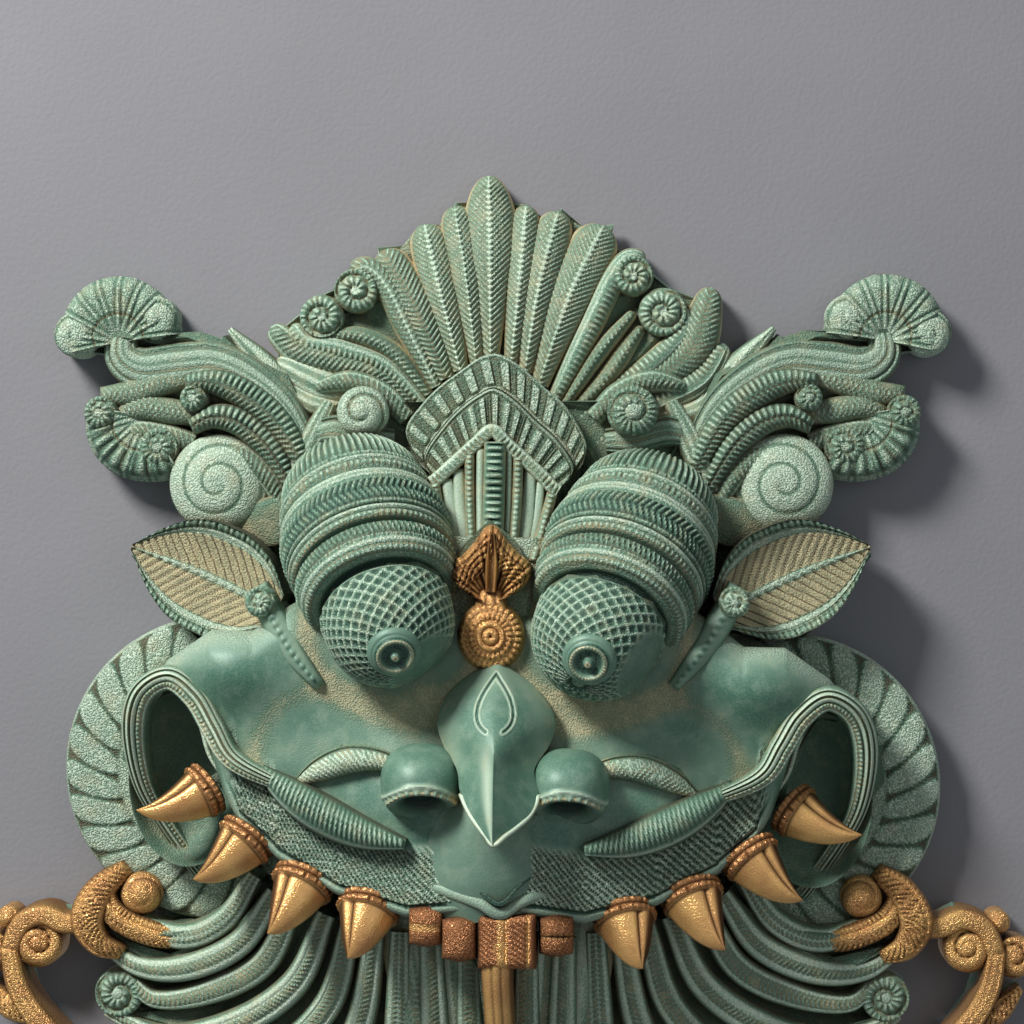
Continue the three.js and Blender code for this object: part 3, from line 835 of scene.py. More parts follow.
@dataclass(frozen=True)
class Verdigris:
    """Green patina: pale on what stands out, teal or cream dust in the hollows, darker if polished.

    Specks and stains are features a metre, coarse and fine. Where another surface is nearer than reach,
    a crevice gets painted shade, and bump is the stippling's height, both in metres.
    """

    name: str = "verdigris"
    slot: str = "verdigris"
    pale: Colour = (0.61, 0.75, 0.59)
    green: Colour = (0.115, 0.240, 0.165)
    teal: Colour = (0.007, 0.030, 0.020)
    dust: Colour = (0.68, 0.54, 0.31)
    polished: Colour = (0.05, 0.155, 0.11)
    metal: float = 0.1
    specks: Point = (1250, 3000)
    stains: Point = (120, 30)
    reach: float = 0.009
    bump: float = 0.0010

    def material(self) -> bpy.types.Material:
        """Builds the nodes: the worn colour and the rubbed one, each with teal and dust for hollows and
        painted shade.
        """
        n = Nodes(self.name)
        hollow, dusty, polish, grain = (n.read(name) for name in VALUES)
        speck, fine = n.span(n.noise(self.specks[0], 1.0), 0.15, 0.85), n.noise(self.specks[1], 0.0)
        patchy, broad = n.noise(self.stains[0], 3.0, 0.6), n.noise(self.stains[1], 3.0)
        dots = n.times(n.times(speck, n.span(fine, 0, 1, (0.6, 1.0))), n.span(grain, 0, 1, (0.12, 0.48)))
        worn = n.plus(n.plus(hollow, dots), n.span(broad, 0, 1, (0.0, 0.12)))
        skin = n.mix(n.span(worn, 0.05, 0.55), self.pale, self.green)
        skin = n.mix(n.span(patchy, 0.5, 1.0, (0.0, 0.22)), skin, self.dust)
        # The hollow colour, teal to cream dust: patina and dust in the hollows, and the colour of painted
        # shade.
        hollow_tone_and_shade = n.mix(n.times(dusty, n.span(patchy, 0, 1, (0.75, 1.15))), self.teal, self.dust)
        skin = n.mix(n.span(n.plus(hollow, n.span(dots, 0, 1, (0.0, 0.3))), 0.42, 1.0), skin, hollow_tone_and_shade)
        # Painted shade: ambient occlusion darkens towards the hollow colour where another surface is near.
        near = n.times(n.span(n.closeness(self.reach), 0.2, 0.75), n.span(speck, 0, 1, (0.95, 0.65)))
        skin = n.mix(n.times(near, 0.9), skin, hollow_tone_and_shade)
        gloss = n.mix(n.span(broad, 0, 1, (0.0, 0.55)), self.polished, self.green)
        gloss = n.mix(n.plus(n.span(patchy, 0.4, 1.0, (0.0, 0.12)), n.times(speck, 0.10)), gloss, self.pale)
        # The hollow value darkens the rubbed colour as well; on the beak's right facet that is painted
        # shade.
        gloss = n.mix(n.span(n.times(hollow, n.span(speck, 0, 1, (0.35, 1.0))), 0.1, 0.8), gloss, hollow_tone_and_shade)
        gloss = n.mix(n.times(near, 0.5), gloss, hollow_tone_and_shade)
        rough = n.span(polish, 0, 1, (0.6, 0.48))
        lift = n.times(speck, n.times(grain, grain))
        return n.finish(n.skin(n.mix(polish, skin, gloss), rough, self.metal, lift, 0.8, self.bump))


@dataclass(frozen=True)
class Gilding:
    """Worn gilt: gold on what stands out, copper where it is rubbed through, brown in the hollows.

    Its measures are as the patina's, but bump is how deep it is pitted. Its brown is also painted shade in
    crevices and on the fangs' undersides.
    """

    name: str = "gilding"
    slot: str = "gilding"
    gold: Colour = (1.0, 0.61, 0.22)
    copper: Colour = (0.56, 0.25, 0.105)
    brown: Colour = (0.05, 0.018, 0.008)
    metal: float = 0.65
    specks: float = 1300
    stains: float = 60
    reach: float = 0.006
    bump: float = 0.0008

    def material(self) -> bpy.types.Material:
        """Builds the nodes."""
        n = Nodes(self.name)
        hollow, grain, dusty = (n.read(name) for name in ("hollow", "grain", "dust"))
        speck, broad = n.span(n.noise(self.specks, 1.0), 0.2, 0.8), n.noise(self.stains, 3.0)
        worn = n.most(n.span(broad, 0, 1, (0.0, 0.7)), n.span(dusty, 0.55, 0.8))
        dots = n.times(n.span(speck, 0.45, 1.0), n.span(grain, 0, 1, (0.1, 0.6)))
        # Painted shade: brown also where another surface is within reach, as well as in hollows and stipple
        # dots.
        dark = n.most(hollow, n.most(n.span(n.closeness(self.reach), 0.2, 0.7), dots))
        metal = n.mix(dark, n.mix(worn, self.gold, self.copper), self.brown)
        lift = n.times(speck, n.span(grain, 0, 1, (0.1, 1.0)))
        return n.finish(n.skin(metal, n.span(dark, 0, 1, (0.30, 0.7)), self.metal, lift, 0.6, -self.bump))


@dataclass(frozen=True)
class Paint:
    """Plain paint on the wall and the floor, which is clear from behind."""

    name: str
    colour: Colour
    rough: float = 0.85
    bump: float = 0.0008

    def material(self) -> bpy.types.Material:
        """Builds the nodes: faint mottling and roller texture, and nothing at all on the back."""
        n = Nodes(self.name)
        colour = n.mix(n.noise(9, 3.0), self.colour, tuple(0.93 * c for c in self.colour))
        shader = n.skin(colour, self.rough, 0.0, n.noise(420), 0.12, self.bump)
        back = n.node("ShaderNodeNewGeometry").outputs["Backfacing"]
        clear = n.node("ShaderNodeBsdfTransparent").outputs[0]
        return n.finish(n.node("ShaderNodeMixShader", {0: back, 1: shader, 2: clear}).outputs[0])


class Finish(Enum):
    """The two finishes of the casting."""

    VERDIGRIS = Verdigris()
    GILDING = Gilding()


class Foundry:
    """Makes the pieces: one mesh object of each list of patches."""

    def __init__(self) -> None:
        """Mixes the materials of both finishes."""
        self.materials = {finish: finish.value.material() for finish in Finish}

    @staticmethod
    def mesh(name: str, patches: Sequence[Patch]) -> bpy.types.Mesh:
        """Joins closed patches into one mesh, in metres, with their normals outward.

        Args:
            name: The mesh's name.
            patches: Its closed surfaces.

        Returns:
            The mesh, with a value of each kind at each point.
        """
        points, quads, fans = [], [], []
        values: dict[str, list] = {name: [] for name in VALUES}
        base = 0
        for part in patches:
            rings, count, _ = part.points.shape
            index = base + np.arange(rings * count).reshape(rings, count)
            turn = np.roll(index, -1, axis=1)
            quad = np.stack([index[:-1], turn[:-1], turn[1:], index[1:]], axis=-1).reshape(-1, 4)
            first, last = base + rings * count, base + rings * count + 1
            fan = np.concatenate([
                np.stack([turn[0], index[0], np.full(count, first)], axis=-1),
                np.stack([index[-1], turn[-1], np.full(count, last)], axis=-1),
            ])
            ends = part.points[[0, -1]].mean(axis=1)
            flat = clear_of_hollow(np.concatenate([part.points.reshape(-1, 3), ends]))
            whole = np.concatenate([quad[:, [0, 1, 2]], quad[:, [0, 2, 3]], fan]) - base
            a, b, c = (flat[whole[:, i]] for i in range(3))
            if np.einsum("ij,ij->i", a, np.cross(b, c)).sum() < 0:
                quad, fan = quad[:, ::-1], fan[:, ::-1]
            points.append(flat)
            quads.append(quad)
            fans.append(fan)
            for key, stack in values.items():
                v = getattr(part, key)
                stack.append(np.concatenate([v.ravel(), v[[0, -1]].mean(axis=1)]))
            base += len(flat)
        co = np.concatenate(points) * MM
        quad, fan = np.concatenate(quads), np.concatenate(fans)
        made = bpy.data.meshes.new(name)
        made.vertices.add(len(co))
        made.vertices.foreach_set("co", co.ravel())
        made.loops.add(quad.size + fan.size)
        made.loops.foreach_set("vertex_index", np.concatenate([quad.ravel(), fan.ravel()]).astype(np.int32))
        made.polygons.add(len(quad) + len(fan))
        starts = np.concatenate([4 * np.arange(len(quad)), 4 * len(quad) + 3 * np.arange(len(fan))])
        made.polygons.foreach_set("loop_start", starts.astype(np.int32))
        made.polygons.foreach_set("use_smooth", np.ones(len(starts), dtype=bool))
        made.update(calc_edges=True)
        for key, stack in values.items():
            layer = made.attributes.new(key, "FLOAT", "POINT")
            layer.data.foreach_set("value", np.clip(np.concatenate(stack), 0, 1).astype(np.float32))
        made.set_sharp_from_angle(angle=math.radians(CARVED_EDGE))
        return made

    def cast(self, name: str, finish: Finish, patches: Sequence[Patch]) -> bpy.types.Object:
        """Makes a piece.

        Args:
            name: Its name.
            finish: Its finish.
            patches: Its closed surfaces.

        Returns:
            The piece, tied to the casting.
        """
        return self.tie(bpy.data.objects.new(name, self.mesh(name, patches)), finish)

    def tie(self, made: bpy.types.Object, finish: Finish) -> bpy.types.Object:
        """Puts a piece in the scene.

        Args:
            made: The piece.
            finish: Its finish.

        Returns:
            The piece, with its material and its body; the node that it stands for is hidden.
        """
        bpy.context.scene.collection.objects.link(made)
        made.data.materials.append(self.materials[finish])
        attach(made, BODY)
        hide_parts(NODE)
        LOG.info("%s: %d triangles", made.name, len(made.data.loops) - 2 * len(made.data.polygons))
        return made


@dataclass(frozen=True)
class CastingBody:
    """The casting itself, drawn in a little so that the carved surfaces cover its front.

    Attributes:
        draw: How far its front is drawn in along X, Y and Z.
        facing: Its front is where the normal's Y is below this.
        back: Its back is where Y is over this.
        deeper: Places that are drawn in more: least and greatest distance from the middle, lowest
            and highest Z, least depth, and how much more.
        fangs: Root and tip of the plain fangs on one side, each (x, depth, z).
        girth: How far from its middle line a plain fang reaches.
        shrink: Share of its size that is left.
        behind: How far its root is moved back.
        shells: The plain shells on one side, each (x, z, reach).
        pinch: Share by which they are drawn in.
    """

    draw: Triple = (2.0, 7.0, 2.0)
    facing: float = 0.35
    back: float = -0.5
    deeper: Sequence = ((-1, 62, -232, -118, 30, 9), (100, 300, -114, -56, 20, 8))
    fangs: Sequence = (
        ((132, 44, -188), (173, 58, -203)), ((113, 56, -216), (141, 66, -235)),
        ((84, 60, -232), (106, 78, -259)), ((51, 68, -240), (61, 86, -271)),
    )
    girth: float = 15.5
    shrink: float = 0.3
    behind: float = 6.0
    shells: Sequence = ((189, 28, 40), (176, -8, 38))
    pinch: float = 0.08

    def sunk(self, co: np.ndarray) -> np.ndarray:
        """Draws each plain fang back towards its root.

        A point belongs to a fang if it lies beside its length, from t = 0.08 to 1.1 of the line from
        root to tip, and nearer to that line than the fang is thick.

        Args:
            co: Points by 3.

        Returns:
            The points, with the fangs' shrunk towards their roots.
        """
        out = co.copy()
        for root, tip in self.fangs:
            for side in SIDES:
                ends = [np.array([p[0] * side, -p[1], p[2] - LEAN * p[0] * side]) for p in (root, tip)]
                first, last = ends
                way = last - first
                t = (co - first) @ way / (way @ way)
                off = np.linalg.norm(co - first - t[:, None] * way, axis=1)
                near = (t > 0.08) & (t < 1.1) & (off < self.girth)
                out[near] = first + self.shrink * (co[near] - first) + np.array([0, self.behind, 0])
        return out

    def plain_form(self) -> tuple[np.ndarray, np.ndarray, np.ndarray]:
        """Copies the plain form and merges its points.

        Returns:
            The points in mm, the triangles, and the unit normal at each point, which is the sum of
            the cross products of the sides of the triangles round it, at length 1.
        """
        source = bpy.data.objects[NODE]
        mesh = source.data
        co = np.empty(3 * len(mesh.vertices))
        mesh.vertices.foreach_get("co", co)
        co = co.reshape(-1, 3) @ np.array(source.matrix_world.to_3x3()).T
        mesh.calc_loop_triangles()
        tri = np.empty(3 * len(mesh.loop_triangles), dtype=np.int32)
        mesh.loop_triangles.foreach_get("vertices", tri)
        _, keep, same = np.unique(np.round(co / MM, 2), axis=0, return_index=True, return_inverse=True)
        co, tri = co[keep] / MM, same.ravel()[tri].reshape(-1, 3)
        tri = tri[(tri[:, 0] != tri[:, 1]) & (tri[:, 1] != tri[:, 2]) & (tri[:, 0] != tri[:, 2])]
        face = np.cross(co[tri[:, 1]] - co[tri[:, 0]], co[tri[:, 2]] - co[tri[:, 0]])
        normal = np.zeros_like(co)
        for i in range(3):
            np.add.at(normal, tri[:, i], face)
        return co, tri, normal / np.maximum(np.linalg.norm(normal, axis=1), 1e-9)[:, None]

    def build(self, foundry: Foundry) -> bpy.types.Object:
        """Draws in all of the plain form but its back and its hollow.

        Args:
            foundry: What ties it to the casting.

        Returns:
            The piece.
        """
        co, tri, normal = self.plain_form()
        x, y, z = co.T
        front = normal[:, 1] < self.facing
        shift = -normal * np.asarray(self.draw) * front[:, None]
        shift[:, 1] = np.where(y > self.back, 0, shift[:, 1])
        for inner, outer, low, high, depth, more in self.deeper:
            place = (np.abs(x) > inner) & (np.abs(x) < outer) & (z > low) & (z < high) & (y < -depth)
            shift[:, 1] += more * (place & front)
        for across, up, reach in self.shells:
            for side in SIDES:
                away = co[:, [0, 2]] - np.array([across * side, up])
                near = np.linalg.norm(away, axis=1) < reach
                shift[:, [0, 2]] -= self.pinch * away * near[:, None]
        clear = np.isclose(clear_of_hollow(co)[:, 1], y)[:, None]
        moved = self.sunk(co + shift)
        shown = np.where(clear, clear_of_hollow(moved), moved)
        made = bpy.data.meshes.new("casting_body")
        made.from_pydata((shown * MM).tolist(), [], tri.tolist())
        made.update()
        back = smooth_step(0.2, 0.6, normal[:, 1])
        even = np.ones(len(co))
        values = {"hollow": 0.55 * (1 - back), "dust": 0.15 * even, "polish": 0.25 * back,
                  "grain": 0.8 * even}
        for key, value in values.items():
            made.attributes.new(key, "FLOAT", "POINT").data.foreach_set("value", value.astype(np.float32))
        made.set_sharp_from_angle(angle=math.radians(PLAIN_EDGE))
        return foundry.tie(bpy.data.objects.new("casting_body", made), Finish.VERDIGRIS)


LEAF = (
    Lane(0.06, 0.94, Work.CHEVRON, 1.15, 2.8, 0.45, 0.85, 1),
    Lane(0.46, 0.54, Work.SMOOTH, 0.5, dust=0.2, hollow=0),
)
ROPE = (Lane(0.16, 0.84, Work.ROPE, 1.4, 2.8, 0.25, slant=0.6),)
BRAID = (
    Lane(0.06, 0.48, Work.ROPE, 1.3, 2.8, 0.3, slant=0.8),
    Lane(0.52, 0.94, Work.ROPE, 1.3, 2.8, 0.3, slant=-0.8),
)
HALF = (Lane(0.5, 0.94, Work.FLUTES, 1.4, 2.8, 0.3), Lane(0.04, 0.47, Work.LINES, 1.1, 2, 0.4))
OTHER_HALF = (Lane(0.06, 0.5, Work.FLUTES, 1.4, 2.8, 0.3), Lane(0.53, 0.96, Work.LINES, 1.1, 2, 0.4))
RIDGES = (Lane(0.04, 0.96, Work.LINES, 1.2, 3, 0.5, 0.9),)
COIL = (Lane(0.12, 0.88, Work.FLUTES, 1.2, 2.7, 0.3, 0.8),)


@dataclass(frozen=True)
class Half:
    """An assembly that is made once for each side.

    Attributes:
        side: 1 for the viewer's right and -1 for the left.
    """

    side: int

    def strand(self, path: Sequence[Point], *rest: object, lean: bool = False, **more: object) -> Strand:
        """A strand that is given for the viewer's right, put on this side with its lanes."""
        return Strand(mirrored(path, self.side, lean), *rest, flip=self.side < 0, **more)


@dataclass(frozen=True)
class Crest:
    """The fan of blades over the crown, with the coiled locks at its sides.

    Attributes:
        depth: Depth of a blade's edges, and camber and keel the height and shape of its middle.
        lock_depth: Depth of a lock's edges, and lock_camber the height of its middle.
        spread: How many times as wide a lock is as its row says, so that it laps the next.
        coil_depth: Depth of a coil's edges.
        blades: Path, width and work of each blade.
        locks: Path, width and work of each lock.
        coils: Centre, radius, start and way of each coil.
    """

    depth: Values = (14, 15, 15, 13, 11)
    camber: Values = (4, 6.5, 7.5, 7, 5)
    keel: float = 1.6
    lock_depth: Values = (13, 14, 14, 13)
    lock_camber: Values = (5, 7, 7.5, 5)
    spread: float = 1.25
    coil_depth: float = 17.5
    blades: Sequence = (
        ([(-5, 20), (-5, 70), (-6, 111)], (8, 14, 20, 25, 25, 13), LEAF),
        ([(5, 16), (9.5, 58), (12.5, 96)], (7, 10, 13, 15, 16, 13), LEAF),
        ([(12, 13), (19, 55), (28.5, 93)], (7, 12, 16, 19, 20, 16), LEAF),
        ([(19, 7), (34, 50), (51, 86)], (9, 14, 20, 24, 25, 22), LEAF),
        ([(-12, 18), (-17, 60), (-23, 96)], (7, 11, 15, 17, 18, 14), LEAF),
        ([(-20, 14), (-29, 50), (-38, 87)], (8, 13, 17, 19, 20, 17), LEAF),
        ([(-27, 10), (-41, 43), (-59, 74)], (9, 14, 18, 20, 20, 17), BRAID),
    )
    locks: Sequence = (
        ([(27, 1), (44, 35), (55, 58), (63, 68.5), (72, 68)], (6, 9, 10, 10, 8), HALF),
        ([(31, -4), (50, 24), (66, 43)], (4, 6, 7, 4), ROPE),
        ([(35, -8), (52, 10), (64, 27), (70, 36)], (5, 7, 8, 4), ROPE),
        ([(36, -13), (58, 4), (78, 20), (90, 33), (91, 45)], (5, 8, 10, 9, 7), OTHER_HALF),
        ([(40, -17), (70, 5), (94, 24), (104.5, 55)], (7, 9, 14, 17, 9), BRAID),
        ([(46, -24), (75, -4), (99, 9), (111, 27)], (6, 9, 12, 12, 8), OTHER_HALF),
        ([(53, -27), (78, -12), (100, -4), (111, 14)], (5, 8, 10, 8), RIDGES),
        ([(-32, 6), (-45, 33), (-56, 55), (-66, 65), (-75, 63)], (6, 9, 11, 10, 8), BRAID),
        ([(-36, 2), (-52, 22), (-70, 31), (-86, 31)], (5, 8, 8, 6), ROPE),
        ([(-38, -3), (-57, 16), (-78, 24), (-96, 28), (-104, 37)], (5, 8, 9, 10, 7), OTHER_HALF),
        ([(-40, -9), (-59, 11), (-82, 18), (-101, 24), (-114.5, 36)], (6, 9, 12, 13, 8), ROPE),
        ([(-47, -17), (-66, 2), (-88, 7), (-112, 19)], (6, 10, 15, 10), RIDGES),
        ([(-54, -24), (-74, -8), (-94, -2), (-110, 8)], (5, 8, 10, 7), RIDGES),
    )
    coils: Sequence = (
        ((-71.5, 53.5), 11, 100, 1),
        ((-88.5, 40.5), 11, 250, 1),
        ((65.5, 60.5), 10, 60, -1),
        ((80, 42.5), 12, -30, 1),
    )

    def patches(self) -> list[Patch]:
        """The blades stand keeled, the locks rounded, and each coil is a spiral of the same work."""
        far = dict(dust=0.9, lobed=True)
        made = [
            Strand(path, width, self.depth, self.camber, self.keel, lanes, step=0.4, across=0.55,
                   blunt=(0, 0.4), valley=0.9, **far)
            for path, width, lanes in self.blades
        ]
        made += [
            Strand(path, np.multiply(width, self.spread), self.lock_depth, self.lock_camber, 2.0, lanes,
                   step=0.5, blunt=(0, 0.6), **far)
            for path, width, lanes in self.locks
        ]
        made += [
            Spiral(centre, radius, self.coil_depth, 1.7, start, way, 2.6, COIL, knob=1.8, bulge=2.5)
            for centre, radius, start, way in self.coils
        ]
        return surfaces(*made)


@dataclass(frozen=True)
class Crown:
    """Two peaked arches of panels round a gabled door, above the brow and down between the eyes.

    Attributes:
        outer: Outer edge of the outer arch.
        middle: The edge between the arches.
        gable: Inner edge of the inner arch, where the door's gable lies.
        foot: Depth of the floor that its parts rise from.
    """

    outer: Sequence[Point] = (
        (-40, -32), (-46, -16), (-38, -3), (-29, 6), (-18, 14), (-10, 19.5), (-3, 21.5), (4, 19.5),
        (13, 13), (22, 5), (33, -5), (42, -21), (41, -32),
    )
    middle: Sequence[Point] = (
        (-33, -38), (-36, -28), (-26, -13), (-17, -4), (-9, 1.5), (-3, 4), (3, 1.5), (10, -4), (18, -12),
        (28, -21), (36, -33), (34, -41),
    )
    gable: Sequence[Point] = (
        (-33, -42), (-30, -40), (-20, -31), (-11, -23), (-3, -16.5), (4, -23), (13, -31), (22, -39.5),
        (26, -44), (29, -46),
    )
    foot: float = 20

    def patches(self) -> list[Patch]:
        """The arches, the door's beaded gable, its posts and panels, and the ground at their foot."""

        def panels(pitch: float) -> tuple[Lane, ...]:
            """The lanes of an arch, with its panels that far apart."""
            middle = Lane(0.12, 0.9, Work.PANELS, 1.5, pitch, 0.25, 0.8)
            return (smooth(0, 0.1, 0.9), middle, smooth(0.92, 1, 0.9))

        arch = Band(self.outer, self.middle, (31, 31), panels(10.2), grain=1.0)
        inner = Band(self.middle, self.gable, (38, 40, 38), panels(7.4), grain=1.0)
        edge = (smooth(0, 0.22, 0.9), beads(0.26, 0.74, 1.3, 2.5, 0.5), smooth(0.78, 1, 0.9))
        pearls = (beads(0.08, 0.92, 1.3, 2.6, 0.5),)
        ribs = (Lane(0.08, 0.92, Work.FLUTES, 2.6, 3.3, 0, 1),)
        posts = dict(floor=self.foot, valley=0.3, polish=0.45, grain=0.3)
        strands = [
            Strand(self.gable, 6.5, (45, 47, 45), 1, lanes=edge, floor=self.foot, valley=0.2, blunt=(0, 0)),
            Strand([(-31, -42), (-28, -58), (-23, -78)], 5, (46, 51, 59), 2, lanes=pearls, floor=self.foot,
                   dust=0.7),
            Strand([(26, -47), (22, -62), (17, -80)], 5, (46, 51, 59), 2, lanes=pearls, floor=self.foot,
                   dust=0.7),
            Strand([(-25, -40), (-23, -56), (-19, -78)], (5, 7, 5), (44, 48, 56), 1.0, **posts),
            Strand([(-19.5, -35), (-18.5, -54), (-15.5, -78)], (5, 6, 5), (44, 48, 56), 1.0, **posts),
            Strand([(-14, -28), (-13.7, -50), (-12, -78)], 4.5, (46, 51, 58), 2, lanes=pearls,
                   floor=self.foot, dust=0.9),
            Strand([(-8.6, -25), (-8.6, -50), (-8, -78)], 4, (46, 51, 58), 1.5, **posts),
            Strand([(-1.5, -22), (-1.8, -46), (-2.4, -70)], 10.5, (48, 53, 60), 3, 2.0, ribs, self.foot,
                   blunt=(0.1, 0)),
            Strand([(5.2, -25), (5, -50), (4, -78)], 3, (46, 51, 58), 1.5, **posts),
            Strand([(9.6, -29), (9, -50), (7, -78)], 5, (46, 51, 58), 2, lanes=pearls, floor=self.foot,
                   dust=0.5),
            Strand([(15.5, -34), (14.5, -52), (11.5, -79)], (5, 6.5, 5), (44, 48, 56), 1.0, **posts),
            Strand([(20.5, -41), (18.5, -58), (14, -80)], (4, 5, 4), (44, 48, 56), 1.0, **posts),
            Strand([(-2.6, -68), (-3, -92), (-3, -124)], (52, 46, 38), (56, 58, 61), 3, 2.0,
                   floor=self.foot, blunt=(0, 0), grain=1.0, valley=0.9, dust=0.8),
        ]
        return surfaces(arch, inner, *strands)


@dataclass(frozen=True)
class BrowOrnament:
    """The gilt fan and rosette between the eyes.

    Attributes:
        rosette: Middle of the rosette.
        waist: Where the fan's rays meet.
        outline: Length of the fan along its turn.
    """

    rosette: Point = (-2.5, -115)
    waist: Point = (-2.5, -99)
    outline: Values = (8, 21, 26, 26.5, 30, 37, 30, 26.5, 26, 21, 8)

    def patches(self) -> list[Patch]:
        """A hooded fan of rays with a dark cleft, and the beaded rosette."""
        x, z = self.rosette
        studs = (
            Lane(0.3, 3.6, Work.SMOOTH, 2),
            Lane(4.6, 6.6, Work.SMOOTH, 1.4),
            beads(7.8, 10.6, 1.4, 2.4, hollow=0.7),
            beads(11.6, 15.6, 1.5, 2.8, hollow=0.7),
        )
        rays = (beads(0.84, 0.99, 1.4, 2.8), Lane(0.46, 0.82, Work.WEAVE, 1.3, 2.8, hollow=0.75))
        fan = Shell(self.waist, self.outline, (16, 164), 12, (70, 73, 75, 73), 1.3, rays, 40, inner=0.1,
                    round=3, mark=0.5)
        rosette = Turned((x, -77, z), ((0.1, 0), (5, 0), (11, 1.2), (15.2, 3.6), (16.2, 7), (14, 40)),
                         lanes=studs, squash=(1.0, 1.04), grain=0.6)
        stem = Strand([(x, -92), (x, -98), (x, -104)], (11, 14, 18), (71, 73), 3, lanes=RIDGES, floor=50)
        cleft = (Lane(0, 0.28, Work.SMOOTH, 1.6), cut(0.3, 0.7, 1.6), Lane(0.72, 1, Work.SMOOTH, 1.6))
        spine = Strand([(x + 0.8, -66), (x + 0.6, -78), (x, -94)], (2, 6, 5), (75, 77, 76), 1, lanes=cleft,
                       floor=50)
        return surfaces(fan, rosette, stem, spine)


